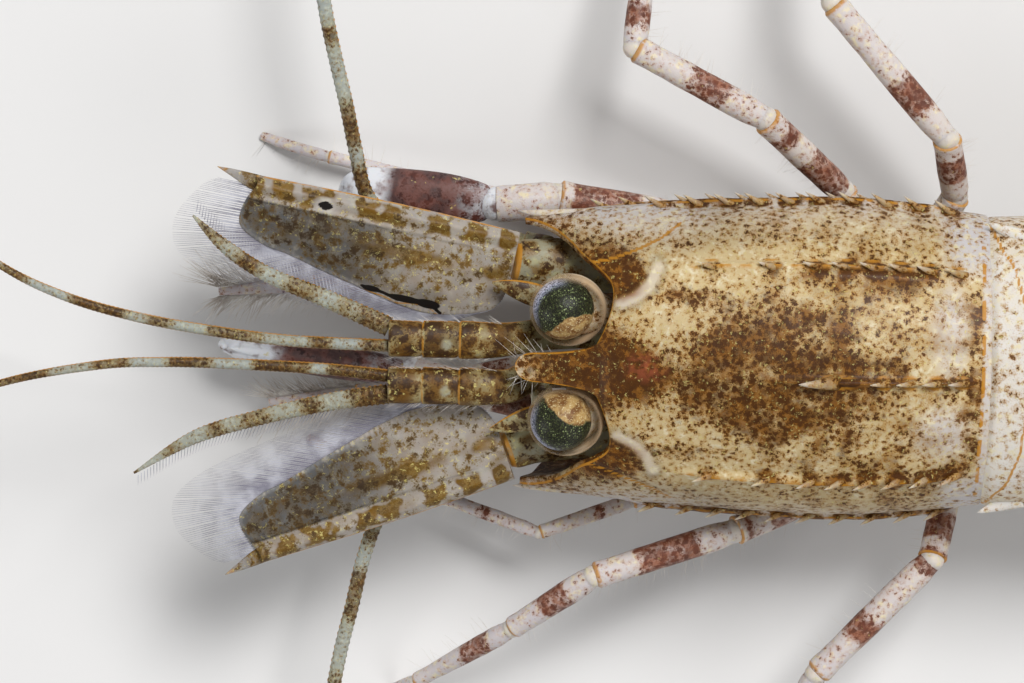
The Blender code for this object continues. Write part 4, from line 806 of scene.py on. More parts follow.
def carapace_marks(x, y, share):
    """Marks of the carapace at each point. y is on the animal's right where it is above 0."""
    across = np.abs(y)
    drift = rough(np.stack([x, y, 0 * x], axis=-1), 1.1, 2)
    bar = stroke(x, across, EYE_BAR, 0.26)
    white = np.maximum(blob(x, y, *WHITE_RIGHT, 0.5), blob(x, y, *WHITE_LEFT, 0.6))
    mottled, corner = blob(x, across, *MOTTLED_CHEEK, 0.6), blob(x, across, *REAR_CORNER, 0.6)
    taper = np.clip(1.3 - 0.14 * x, 0.3, 1.2)
    brown = 0.43 + 0.62 * blob(x, y, *SADDLE, 0.45) + 0.9 * blob(x, y / taper, *FOREHEAD, 0.5)
    brown += 0.42 * (drift * ease(8.0, 13.0, x) - blob(x, y, *WAIST, 0.6)) - 0.3 * white
    for strength, place, soft in SIDE_BROWNS:
        brown += strength * blob(x, across, *place, soft)
    ragged = x - 0.25 * np.sin(across * 2.4)
    strip = ease(REAR_STRIP_X - 0.5, REAR_STRIP_X, ragged) * fall(3.1, 3.9, across)
    brown += (0.32 + 0.14 * np.sin(across * 5.1)) * strip
    gold = 0.85 * stroke(x, across, CHEEK_LINE, 0.055)
    for (at, _, first, last), tips in zip(KEELS, TEETH):
        off = (share - at) / KEEL_SHARE
        wave = np.sin(x * 5.7 + 9 * at) + 0.5 * np.sin(x * 2.3)
        crest = np.clip(1 - np.abs(off + 0.2) / 0.34, 0, 1) * (0.58 + 0.42 * ease(-0.5, 0.2, wave))
        gold = np.maximum(gold, crest * ease(first, first + 1, x) * fall(last - 1, last, x))
        for tip in tips:
            size = 1.6 if (at, tip) == GREAT_TOOTH else 0.6
            brown += 0.75 * blob(x, off, (tip + size * 1.1, -0.3), (size * 0.75, 1.2), 0.7)
            gold = np.maximum(gold, 0.55 * blob(x, off, (tip + size, 0.9), (size * 0.8, 0.3), 0.5))
    dashes = (np.sin(across * 4.6 + 0.6) > -0.35) & (across < 5.4)
    gold = np.maximum(gold, near(x, DASH_X, 0.05, 0.12) * dashes)
    lilac = 0.75 * ease(0.36, 0.62, share) + 0.8 * ease(EDGE_X - 0.3, EDGE_X, x)
    lilac += 0.7 * white + 0.45 * bar + 0.3 * mottled + 0.9 * corner
    flank = ease(0.3, 0.42, share)
    brown *= fall(EDGE_X - 0.15, EDGE_X, x)
    brown += 0.25 * ease(0.5, 0.8, share) + 0.2 * flank * fall(6, 12, x)
    shade = 0.5 * flank * (1 - 0.75 * ease(6, 12, x)) * (1 - 0.6 * mottled)
    shade = shade * (0.4 + 0.6 * ease(1.5, 4.0, x)) + 0.16 * blob(x, y, *SADDLE, 0.7)
    shade += 0.35 * (stroke(x, across, EYE_BAR, 0.42) - stroke(x, across, EYE_BAR, 0.24))
    amber = (0.25 + 0.7 * drift) * blob(x, across, *AMBER_FIELD, 0.6) + 0.3 * blob(x, y, *FOREHEAD, 0.6)
    return {"brown": brown, "gold": gold, "pale": np.maximum(bar, 0.3 * white), "shade": shade,
            "lilac": np.clip(lilac, 0, 1), "red": blob(x, y, *RED_SPOT, 0.8), "amber": amber}


def section(outer, inner, outside):
    """A cross-section down the right side, back under the body and up the left: each point's share of the
    way down, its place under the body, which is outside on the sides, and its side."""
    share = np.concatenate([outer, np.ones(2 * len(inner) - 1), outer[:0:-1]])
    sides = np.full(len(outer), outside)
    part = np.concatenate([sides, inner, inner[-2::-1], sides[1:]])
    return share, part, np.where(np.arange(len(share)) < len(outer) + len(inner), 1.0, -1.0)


def shield(shape):
    """The carapace without its rostrum and teeth, turned in under the body and closed by rims at its ends."""
    share, part, side = section(np.linspace(0, 1, 124), np.array((0.96, 0.9, 0.88, 0.66, 0.33, 0.0)), 1.0)
    front = between(FRONT_EDGE, share + 0.2 * (1 - part))[0]
    tuck = np.interp(part, (0.0, 0.88, 0.9, 0.96, 1.0), (0.35, 0.35, 0.3, 0.02, 0.0))

    def ring(reach, inset=0.0, at_x=None):
        x = front + (CARAPACE_END - front) * reach
        points = side_points(x, share, np.where((part == 1) & (inset == 0), keel_lift(x, share), 0.0))
        points[:, 1] *= part * side
        points[:, 2] += tuck
        inward = np.stack([0 * x, -points[:, 1], WIDEST_Z - points[:, 2]], axis=1)
        points += unit(inward) * inset
        if at_x is not None:
            points[:, 0] = at_x
        return points

    reaches = np.linspace(0, 1, 176)[:, None]
    body = np.array([ring(reach) for reach in reaches[:, 0]])
    x, y, z = np.moveaxis(body, -1, 0)
    grain = 0.035 * rough(body, 1.3, 2) + 0.012 * rough(body, 0.35, 2)
    bar, groove = stroke(x, np.abs(y), EYE_BAR, 0.3), stroke(x, np.abs(y), CHEEK_LINE, 0.12)
    out = unit(np.stack([0 * x, y, z - WIDEST_Z], axis=-1))
    fade = ease(0, 0.03, reaches) * fall(0.97, 1, reaches) * (part == 1)
    body += out * ((grain * (1 - bar) + 0.04 * bar - 0.06 * groove) * fade)[..., None]
    marks = carapace_marks(x, y, share + 0 * x)
    rimmed = (share < 0.66) & (share > 0.06)
    marks["gold"] = np.maximum(marks["gold"], 0.7 * fall(0.0, 0.004, reaches) * rimmed)
    marks["lilac"] = np.where(part < 1, 0.8, marks["lilac"])
    lead = [ring(0.0, RIM + 0.5, FACE_X), ring(0.001, RIM), ring(0.0, 0.12), ring(0.0, 0.06)]
    trail = [ring(1.004, 0.08), ring(1.004, 0.22), ring(0.96, 0.4)]
    ends = {name: np.vstack([*[mark[:1]] * 4, mark, *[mark[-1:]] * 3]) for name, mark in marks.items()}
    ends["gold"][:3] = 0
    ends["gold"][3] = rimmed
    shape.skin(np.concatenate([lead, body, trail]), **ends)


def rostrum(shape):
    """The blunt tongue between the eyes, with a raised gold rim and a pale nib."""
    x = np.linspace(0, 1, 46)[:, None] ** 1.3 * ROSTRUM[-1][0]
    half, middle, thick = between(ROSTRUM, x)
    c, s = circle(40, 0)
    brim = np.where(s >= -0.01, 0.55 * np.abs(c) ** 5, 0.0)
    z = middle + thick * (0.62 * s + brim) - 0.9 * ease(0.62, 1.0, x / x[-1])
    rim = np.maximum(ease(0.88, 0.97, np.abs(c)) * (x < 3.0), fall(0.04, 0.1, x))
    nib = fall(0.2, 1.5, x)
    shape.skin(np.stack([x + 0 * z, half * c, z], axis=-1), brown=1.22 + 0.1 * ease(1.4, 2.4, x) - 0.5 * nib,
               shade=0.12 * (1 - nib), gold=0.8 * rim, lilac=0.3 * nib)


def carapace():
    """The shield over head and chest with its rostrum, the keels' teeth and the cheek spines."""
    shape = Shape()
    shield(shape)
    rostrum(shape)
    t = np.linspace(0, 1, 9)
    for (at, height, _, _), tips in zip(KEELS, TEETH):
        for tip in tips:
            size = 1.5 if (at, tip) == GREAT_TOOTH else 0.85
            rows = np.array((tip + TOOTH_LENGTH * size, tip))
            tooth = side_points(rows, np.full(2, at), np.array((-0.1, height + 0.24 * size)))
            for side in (1, -1) if at else (1,):
                shape.horn(*on_side(tooth, side), 0.22 * size, 0.12, 0.8, brown=0.9 - 0.9 * t,
                           pale=0.8 * ease(0.7, 1.0, t), lilac=0.6 * t, amber=0.7 * fall(0.5, 1.0, t))
    for side, _ in SIDES:
        shape.horn(*on_side(CHEEK_SPINE, side), 0.5, 0.05, 0.7, 14, brown=0.8 - t * 0.8, pale=0.7 * t,
                   lilac=0.7)
    shape.make("carapace_skin", SHELL, "shell", "carapace")


def eyes():
    """Each eye: a clear cornea round a dark granular core with a pale cup, on a short stalk."""
    for side, name in SIDES:
        centre = on_side(EYE, side)
        core = on_side(EYE + (-0.2, 0.02, 0.0), side)

        def core_marks(points):
            off = on_side(points - core, side)
            back, out = off[..., 0] - 0.2, off[..., 1] + 0.05
            cup = ease(-0.3, 0.3, -out) * ease(-0.3, 0.3, back - out)
            flat = np.hypot(off[..., 0], off[..., 1])
            front = ease(0.3, 1.1, -off[..., 0] * 0.8 + off[..., 1] * 0.45) * ease(1.02, 1.24, flat)
            return {"pale": cup, "lilac": front * ease(-0.35, 0.15, off[..., 2])}

        # The band round the eye's middle is its outline from above: painted denser and gold there as edge
        # reflection, most at the rear
        def edge_reflection_marks(points):
            rear = ease(-0.6, 0.9, points[..., 0] - centre[0])
            return {"gold": near(points[..., 2], centre[2], 0.06, 0.25) * (0.1 + 0.9 * rear),
                    "lilac": near(points[..., 2], centre[2], 0.45, 0.9) * (0.35 + 0.65 * rear)}

        shape = Shape()
        shape.ball(core, 1.3, 72, marks=core_marks)
        shape.make(f"eye_core_{name}", CORE, "eye", f"eye_{name}")
        shape = Shape()
        shape.ball(centre, EYE_RADIUS, 64, (1.06, 1.0, 1.0), marks=edge_reflection_marks)
        shape.make(f"cornea_{name}", CORNEA, "eye")
        shape = Shape()
        stalk = route(on_side(EYE_STALK, side), 0.1)
        shape.tube(stalk, 28, 0.95, brown=0.4, lilac=0.4, gold=0.4 * fall(0, 4, np.arange(len(stalk))))
        shape.make(f"eye_stalk_{name}", SHELL, "shell")


def sternum_half(x):
    """Half the sternum's width at x."""
    share = (x - STERNUM_X[0]) / (STERNUM_X[1] - STERNUM_X[0])
    return STERNUM_HALF[0] + (STERNUM_HALF[1] - STERNUM_HALF[0]) * share


def rooted(key):
    """Joints of a limb with its straight first stretch off the sternum."""
    kind, name = key.split("_")
    side = 1 if name == "right" else -1
    x = LIMB_ROOT_X[kind]
    high = np.array((x, side * sternum_half(x), STERNUM_TOP))
    low = high - (0, side * STERNUM_DRAFT, STERNUM_DEPTH)
    ahead = (x + 1, side * sternum_half(x + 1), STERNUM_TOP) - high
    normal = unit(np.cross(ahead, low - high))
    normal *= np.sign(normal[1] * side)
    start = (high + low) / 2
    radius = LIMBS[key][0][3] * 1.1
    return np.array([(*start, radius), (*(start + normal * (GAP + COXA)), radius), *LIMBS[key]])


def band_at(bands, place):
    """How brown a limb is at a place along it, in joints."""
    brown = 0 * place
    for start, end in bands:
        band = ease(start - 0.03, start + 0.04, place) * fall(end - 0.04, end + 0.03, place)
        brown = np.maximum(brown, band)
    return brown


def podomeres(shape, joints, bands, flat=1.0, claw=0.0):
    """The hard lengths of a limb, each narrow at its root and flared at its end, with soft joints between."""
    last = len(joints) - 2
    for i, (a, b) in enumerate(zip(joints, joints[1:])):
        length = np.linalg.norm((b - a)[:3])
        t = np.linspace(0, 1, max(12, round(length / 0.22)))
        t = np.unique([*t, 0.01, 0.03, 0.97, 0.985])
        centre = a + (b - a) * t[:, None]
        swell = 0.86 + 0.14 * ease(0, 0.16, t) + 0.05 * np.sin(np.pi * t)
        if i < last:
            swell = (swell + 0.08 * ease(0.86, 0.97, t)) * (1 - 0.35 * ease(0.975, 1.0, t))
        elif claw:
            centre[:, 2] += np.sin(np.pi * t) * claw * length
        centre[:, 3] *= swell
        centre[:, 3] += 0.02 * rough(centre[:, :3], 0.9, 2) * (i > 0)
        band = band_at(bands, i + t)
        shape.tube(centre, 18, flat, brown=0.12 + 0.85 * band, gold=0.55 * ease(0.93, 0.97, t) * (i < last),
                   lilac=0.35 + 0.3 * ease(3.5, 6, i + t), red=0.2 * band)
        if i:
            shape.ball(a[:3], a[3] * 0.92, 14, pale=0.7)


def legs():
    """Walking legs, the thin second legs and the claws' arms."""
    for key in LIMBS:
        kind, name = key.split("_")
        shape = Shape()
        if kind == "claw":
            podomeres(shape, rooted(key), BANDS[key], claw=0.06)
            shape.make("claw_arm_skin_" + name, LIMB, "limb", "claw_arm_" + name)
        elif kind == "leg2":
            podomeres(shape, rooted(key), (), claw=0.06)
            shape.make("leg2_skin_" + name, LIMB, "limb", "leg2_" + name)
        elif kind != "maxilliped":
            podomeres(shape, rooted(key), BANDS[key], claw=0.06)
            shape.make(f"{key}_skin", LIMB, "limb", key + "_upper", key + "_lower")


def hands():
    """The claws' hands, each with its short thumb and the finger folded across its end."""
    for side, name in SIDES:
        *wrist, arm = LIMBS["claw_" + name][-1]
        along = unit(np.subtract(CLAW_TIP[name], wrist))
        start = wrist + along * GAP
        length = np.linalg.norm(CLAW_TIP[name] - start)
        width, thick = HAND[name]
        turn = math.radians(HAND_TURN[name])
        level = unit(np.cross(along, UP))
        across = (level * math.cos(turn) + np.cross(level, along) * math.sin(turn)) * side
        up = np.cross(across, along)

        def at(reach, off):
            return start + along * (length * reach) + across * (width * off)

        t = np.linspace(0, 1, 60)
        wide = between(HAND_SHAPE, t)[0]
        wide[:3] *= (0.8, 0.92, 1.0)
        wide += 0.2 * ease(0.7, 0.95, t)
        end = ease(0.6, 0.82, t)
        palm = [(*at(reach, 0), width * share) for reach, share in zip(t, wide)]
        shape = Shape()
        shape.tube(palm, 36, thick / width, up, brown=0.6 * (1 - end), pale=end, red=0.3 * (1 - end),
                   lilac=0.45 + 0.85 * ease(0.05, 0.45, t) - 1.8 * end)
        shape.ball(wrist + along * 0.1, arm * 0.95, 18, pale=0.6)
        shape.horn(at(0.72, -0.58), at(0.97, -0.85), 0.36, 0.05, 1.0, 12, pale=1.0, lilac=-0.5)
        finger = [(*at(reach, off), radius) for reach, off, radius in FINGER]
        shape.tube(route(finger, 0.08), 14, 1.0, up, pale=0.9, lilac=-0.5)
        shape.make("claw_hand_skin_" + name, CLAW, "limb", "claw_hand_" + name)


def rings_along(joints, pitch, depth):
    """Joints of a whip at three to each of its rings, which swell by depth as a share of its radius."""
    path = route(joints, pitch / 3)
    path[:, 3] *= 1 + depth * np.cos(2 * np.pi * np.arange(len(path)) / 3)
    return path


def patches(count, length, seed, fill=0.55):
    """Uneven brown patches along a whip, as a number at each of its rings."""
    draw = random.Random(seed)
    made, on = np.zeros(count), True
    at = 0
    while at < count:
        run = max(2, round(count * length * draw.uniform(0.4, 1.6) * (fill if on else 1 - fill) * 2))
        made[at:at + run] = draw.uniform(0.75, 1.1) if on else draw.uniform(-0.1, 0.2)
        at += run
        on = not on
    return np.convolve(np.pad(made, 3, mode="edge"), np.full(7, 1 / 7), mode="valid")


def tapered(path, radius, tip, slim):
    """Rows of x, y, z and radius, thinner by slim of it toward the tip and then fast to the tip's share."""
    share = np.linspace(0, 1, len(path))
    bend = 1 - slim * 0.75
    thin = np.where(share < 0.75, 1 - slim * share, bend - (bend - tip) * (share - 0.75) / 0.25)
    return np.hstack([np.asarray(path, float), radius * thin[:, None]])


def antennules():
    """The three-jointed stalks of the short feelers, with their leaf-like side spines and whips."""
    for side, name in SIDES:
        middle = ANTENNULE_MIDLINE + side * ANTENNULE_APART
        neck = [(x, side * 0.85, z, radius) for x, z, radius in ANTENNULE_NECK]
        joints = [(x, middle, ANTENNULE_Z, radius) for x, radius in ANTENNULE_JOINTS]
        path = route([*neck, (-0.2, middle, 9.4, 0.72), *joints], 0.07)
        x = path[:, :1]
        c, s = circle(48)
        rim = np.maximum(near(x, -2.36, 0.03, 0.1), near(x, -3.93, 0.03, 0.1))
        spot = blob(x, c, (-2.95, -0.15), (0.26, 0.3), 0.3) * (s > 0)
        shape = Shape()
        shape.tube(path, 48, 0.75, brown=0.9 - 0.3 * rim - 0.4 * ease(-0.6, 0.6, x) + 0.2 * np.sin(x * 5),
                   lilac=0.3 + spot, gold=np.maximum(0.55 * rim, 0.8 * ease(0.97, 0.995, np.abs(c))),
                   pale=0.7 * spot, amber=0.4 * fall(-0.8, 0.4, x) * (1 - rim) * (1 - spot))
        shape.tube(route(on_side(ANTENNULE_LEAF, side), 0.06), 24, 0.4, brown=0.7, lilac=0.5,
                   gold=ease(0.9, 0.98, np.abs(c))[None, ::3][:, :12].repeat(2, axis=1))
        shape.tube(((0.9, side * 0.85, 8.7, 0.5), (1.2, side * 1.8, 8.8, 0.5), (1.2, side * 2.5, 8.95, 0.42)),
                   16, 0.7, brown=0.4, lilac=0.5)
        shape.make("antennule_skin_" + name, STALK, "limb", "antennule_" + name)
        inner = rings_along(tapered(INNER_WHIP[name], *INNER_TAPER), 0.2, 0.05)
        outer = rings_along(tapered(OUTER_WHIP[name], *OUTER_TAPER), 0.24, 0.06)
        shape = Shape()
        band = patches(len(inner), 0.075, SEEDS["inner_whip"] + side)
        edge = 0.8 * ease(0.9, 0.99, np.abs(circle(14)[0]))
        shape.tube(inner, 14, 1.0, brown=band, lilac=0.8 * (1 - band), gold=edge[None], amber=0.45 * band)
        shape.make("inner_whip_skin_" + name, WHIP, "limb", "inner_whip_" + name)
        shape = Shape()
        band = patches(len(outer), 0.09, SEEDS["outer_whip"] + side)
        edge = 0.9 * ease(0.94, 0.99, np.abs(circle(20)[0]))
        beads = (0.35 + 0.65 * (np.arange(len(outer)) % 3 == 0))[:, None] * edge
        shape.tube(outer, 20, 0.65, brown=0.95 * band, lilac=0.7 * (1 - band), gold=beads, amber=0.45 * band)
        shape.make("outer_whip_skin_" + name, WHIP, "limb", "outer_whip_" + name)
        comb = outer[len(outer) // 5::2, :3]
        ahead = unit(np.gradient(comb, axis=0))
        out = unit(np.cross(ahead, UP)) * np.sign(np.cross(ahead[0], UP)[1] * side)
        lengths = np.linspace(1.0, 0.55, len(comb))
        shape = Shape()
        for droop in (0.35, 0.75):
            aims = out * 0.75 + ahead * 0.55 - UP * droop
            shape.hairs(comb + out * 0.2 - UP * 0.16, aims, lengths, 0.022, 0.05)
        shape.make("comb_hairs_" + name, BRISTLE, "clear")


def scale_place(name, side, reach, width, z):
    """Points of a scale at reach along it and width inward from its outer edge."""
    splay = math.radians(SCALE_SPLAY[name])
    along = np.array((-math.cos(splay), side * math.sin(splay), 0))
    across = np.array((-math.sin(splay), -side * math.cos(splay), 0))
    base = np.array((*SCALE_BASE[name], 0.0))
    reach, width = np.asarray(reach)[..., None], np.asarray(width)[..., None]
    return base + along * reach + across * width + UP * np.asarray(z)[..., None]


def scale_marks(reach, width, share, outer):
    """Marks of a scale. reach runs along it, width inward from outer, and share is the share of its width."""
    place = np.stack([reach, width, 0 * reach], axis=-1)
    wander = 0.55 * rough(place, 0.45, 2)
    strip, blade = fall(0.85, 1.0, width), ease(0.9, 1.05, width)
    inward = ease(0.1, 0.5, width) * fall(0.8, 0.94, share)
    spots = 0 * reach
    for at, half in RIB_SPOTS:
        away = np.maximum(np.abs(reach - at) / half, np.abs(width - 0.42) / 0.4) + wander
        spots = np.maximum(spots, fall(0.7, 1.2, away))
    brown = 0.08 + 0.42 * ease(4.5, 7.5, reach) * inward + 0.2 * inward - 0.25 * strip
    brown += 0.35 * blob(reach, width, STREAK, (2.2, 0.5), 0.7)
    brown += 0.3 * blob(reach, width, (0.3, 1.6), (0.4, 0.3))
    beads = near(share, 0.955, 0.0, 0.05) * (np.sin(reach * 26) > 0)
    streak = blob(reach, width, STREAK, (2.0, 0.3), 0.6)
    streak += blob(reach, width, (0.7, 1.9), (0.55, 0.3), 0.4)
    stain = inward * np.clip(0.2 + 0.6 * rough(place, 0.9, 2), 0, 1)
    # Darker toward the glassy tip: shade mixes in black and the lilac mark below picks the dark grey ground,
    # painted shade of the dark ground seen through the blade
    shade = 0.55 * ease(3.5, 7.0, reach) * blade * fall(0.9, 0.97, share)
    return {"brown": 0.85 * brown * (1 - 0.6 * strip) + 0.4 * spots,
            "gold": 0.75 * near(width, outer, 0.015, 0.05) * ease(0.3, 1.0, reach),
            "pale": 0.8 * beads * ease(0.5, 1.5, reach),
            "lilac": 0.1 + 0.8 * ease(4, 8, reach) * blade,
            "amber": np.maximum(1.5 * spots, 1.1 * streak + stain),
            "shade": shade + 0.3 * near(width, 1.0, 0.02, 0.07) * ease(1.0, 2.0, reach)}


def tear_scale(marks, reach, width):
    """Adds the small hole and the torn slit of the animal's right scale to its marks."""
    tear = stroke(reach, width, TEAR, 0.07)
    for place in TEAR_WIDE:
        tear = np.maximum(tear, blob(reach, width, *place, 0.4))
    hole = fall(0.9, 1.1, (np.abs(reach - HOLE[0]) / 0.33) ** 1.4 + (np.abs(width - HOLE[1]) / 0.2) ** 1.4)
    around = blob(reach, width, HOLE, (0.6, 0.38), 0.3)
    lip = 0.7 * stroke(reach, width, [(a, b + 0.16) for a, b in TEAR], 0.03)
    marks["shade"] += 0.35 * blob(reach, width, (3.4, 3.5), (0.7, 0.35), 0.8)
    marks["amber"] *= 1 - around
    marks["brown"] -= around
    marks["dark"] = np.maximum(tear, hole)
    marks["gold"] = np.maximum(marks["gold"], lip)
    marks["pale"] = np.maximum(marks["pale"], blob(reach, width, HOLE, (0.44, 0.28), 0.15) * (1 - hole))


def picked(points, shares):
    """The nearest points of a path to shares of its length, without their height."""
    return points[np.round(shares * (len(points) - 1)).astype(int), :2]


def antenna_scales():
    """The broad glassy blades over the long feelers, with outer spine, stout rib and a comb of setae."""
    inner, fringe = (route([(a, b, 0) for a, b in edge], 0.05) for edge in (SCALE_INNER, SCALE_FRINGE))
    t = np.linspace(0, 1, 260)
    edge = picked(inner, t)
    outer = np.stack([SCALE_LENGTH * t, -0.1 * np.sin(np.pi * t)], axis=1)
    c, s = circle(144, 0)
    reach, width = (outer[:, k:k + 1] + (edge - outer)[:, k:k + 1] * (1 - c) / 2 for k in (0, 1))
    share = np.clip(width / np.maximum((edge - outer)[:, 1:], 0.3), 0, 1)
    rib = 0.14 * hump(width, 0.32, 0.22) - 0.05 * hump(width, 0.75, 0.12) + 0.05 * hump(share, 0.5, 0.05)
    thick = 0.24 * (1 - 0.55 * share) * np.abs(s) ** 0.45 + rib * (s > 0)
    z = SCALE_Z + 0.22 * np.sin(np.pi * share) ** 0.7 + thick * np.sign(s)
    z += 0.015 * rough(np.stack([reach, width, 0 * reach], axis=-1), 0.5, 2)
    for side, name in SIDES:
        marks = scale_marks(reach, width, share, outer[:, 1:])
        if name == "right":
            tear_scale(marks, reach, width)
        shape = Shape()
        shape.skin(scale_place(name, side, reach, width, z), **marks)
        spine = route([(*scale_place(name, side, a, b, SCALE_Z + c), r) for a, b, c, r in SPINE_JOINTS], 0.06)
        along = np.linspace(0, 1, len(spine))
        patch = blob(along, 0, (0.62, 0), (0.13, 1), 0.7)
        shape.tube(spine, 24, 0.5, brown=0.5 * patch + 0.15, amber=patch, lilac=0.5,
                   gold=0.5 * ease(0.85, 0.95, along))
        shape.make("antenna_scale_skin_" + name, CLEAR, "clear", "antenna_scale_" + name)
        comb = np.linspace(0.02, 1, FRINGE_HAIRS)
        roots = scale_place(name, side, *picked(inner, comb).T, SCALE_Z + 0.02 + 0 * comb)
        tips = scale_place(name, side, *picked(fringe, comb).T, SCALE_Z - 0.12 + 0 * comb)
        roots = roots + (roots - tips) * 0.04
        shape = Shape()
        shape.hairs(roots, tips - roots, np.linalg.norm(tips - roots, axis=1), 0.034, 0.0, 7)
        shape.make("scale_fringe_" + name, BRISTLE, "clear")


def antenna_bases():
    """The block at the foot of each scale and the jointed stalk of the long feeler."""
    for side, name in SIDES:
        front = (*scale_place(name, side, -0.02, 1.3, SCALE_Z - 0.2), 0.84)
        block = route((*on_side(BASE_BLOCK, side), front), 0.1)
        share = np.linspace(0, 1, len(block))[:, None]
        block[:, 3:] *= 1 + 0.06 * ease(0.8, 0.95, share) - 0.12 * ease(0.95, 1.0, share)
        level = circle(32)[0] * side
        spots = 0 * share
        for place, size in BASE_SPOTS:
            spots = np.maximum(spots, blob(share, level, place, (0.3 * size, size), 0.5))
        shape = Shape()
        shape.tube(block, 32, 0.72, brown=0.25 + 0.5 * spots, amber=0.15 + 0.8 * spots, lilac=0.8,
                   gold=0.8 * ease(0.95, 0.98, share))
        podomeres(shape, np.array(FEELER_STALK[name]), ((0.4, 0.7), (1.3, 1.8), (2.4, 2.7)))
        shape.make("antenna_base_skin_" + name, STALK, "limb", "antenna_base_" + name)
        path = route((FEELER_STALK[name][-1][:3], *FEELER[name]), 1.9)
        path = rings_along(route(tapered(path, *FEELER_TAPER), 0.4), 0.3, 0.07)
        band = patches(len(path), 0.022, SEEDS["feeler"] + side, 0.5)
        beads = (np.arange(len(path)) % 3 == 0)[:, None] * 0.9 * ease(0.82, 0.95, circle(12)[0])
        shape = Shape()
        shape.tube(path, 12, 1.0, brown=band, lilac=0.9 * (1 - band), gold=beads,
                   pale=0.8 * patches(len(path), 0.03, SEEDS["feeler_pale"] + side, 0.3) * (1 - band))
        shape.make("feeler_skin_" + name, WHIP, "limb", "feeler_near_" + name, "feeler_far_" + name)


def maxillipeds():
    """The bristly mouth legs that reach forward under the claws."""
    for side, name in SIDES:
        key = "maxilliped_" + name
        joints = rooted(key)
        shape = Shape()
        podomeres(shape, joints, BANDS[key], 0.9)
        shape.make(key + "_skin", LIMB, "limb", key)
        path = route([joint[:3] for joint in joints[3:]], 0.1)
        path = path[len(path) // 6:]
        ahead = unit(np.gradient(path, axis=0))
        draw = random.Random(SEEDS["bristles"] + side)
        shape = Shape()
        for way in (1, -1):
            out = unit(np.cross(ahead, UP)) * way
            length = (2.4 if side > 0 else 2.1) * (1.0 if out[0][1] * side > 0 else 0.7)
            for row in range(3):
                spread = [[draw.uniform(low, high) for low, high in BRISTLE_SPREAD] for _ in path]
                aims = out * (0.9 - 0.2 * row) + ahead * (0.65 + 0.3 * row) + spread
                lengths = [length * draw.uniform(0.7, 1.0) for _ in path]
                shape.hairs(path + out * 0.2, aims, lengths, 0.026, 0.08)
        shape.make(key + "_bristles", PALE_BRISTLE, "limb")


def underside():
    """The plate between the legs and the mouthparts before it."""
    x = np.linspace(*STERNUM_X, 90)[:, None]
    across = np.linspace(-1, 1, 40)
    grooves = np.clip(np.abs(((x - 7.5) / 2.3 + 0.5) % 1 - 0.5) * 5, 0, 1)
    low = STERNUM_TOP - STERNUM_DEPTH + 0.3 * (1 - grooves) + 0.2 * (1 - np.abs(across) ** 0.5)
    under = np.stack([x + 0 * low, (sternum_half(x) - STERNUM_DRAFT) * across, low], axis=-1)
    top = np.stack([x + 0 * low, sternum_half(x) * across[::-1], STERNUM_TOP + 0.2 + 0 * low], axis=-1)
    shape = Shape()
    shape.skin(np.concatenate([under, top], axis=1), brown=-0.1, lilac=0.8)
    shape.make("sternum_skin", SHELL, "shell", "sternum")
    shape = Shape()
    for side, _ in SIDES:
        podomeres(shape, on_side(JAW, side), ((0.1, 0.6), (1.2, 1.8), (2.2, 2.7)), 0.9)
        shape.tube(route(on_side(PALP, side), 0.1), 14, 0.7, brown=0.2, lilac=0.8)
    shape.make("mouthparts_skin", LIMB, "shell", "mouthparts")


def over_at(boundary, share):
    """1 where the front one of two abdomen rings lies over the next, and 0 where it is under."""
    return fall(0.4, 0.6, share) if boundary == 1 else np.ones(np.shape(share))


def lean(boundary, share):
    """How far back a boundary of two rings lies at a share of the way down their side."""
    return PLEURA_LEAN[boundary] * ease(0.45, 0.85, share)


def ring_marks(number, body, x, y, reach, share):
    """Marks of an abdomen ring from its points' x, and y on the right. The first is white near the shield."""
    patch = blob(reach, share, (0.55, 0.0), (0.34, 0.2)) + 0.7 * blob(reach, share, (0.6, 0.42), (0.25, 0.12))
    band = ease(0.72, 0.8, reach) * fall(0.9, 0.94, reach)
    white = np.minimum(fall(21.5, 23.2, x), fall(0.3, 0.55, share)) if number == 1 else 0.0
    dark = RING_DARK[number - 1] * (1 - 0.85 * white)
    brown = dark * (0.45 + 0.9 * patch + 0.6 * band) + 0.14 - 0.1 * white + 0.28 * rough(body, 3.2, 2)
    gold = 0.9 * ease(0.975, 0.985, reach) * fall(0.988, 0.994, reach) * (np.sin(share * 60) > -0.3)
    if number == 1:
        line = stroke(x, y, HINGE_LINE, 0.05) * (share < WIDEST_AT)
    else:
        line = 0.9 * near(reach, 0.15, 0.002, 0.006) * (share < 0.5)
    lilac = np.clip(0.35 + 0.5 * ease(0.4, 0.7, share) + 0.5 * white, 0, 1)
    return {"brown": brown, "gold": np.maximum(gold, line), "lilac": lilac + 0 * x}


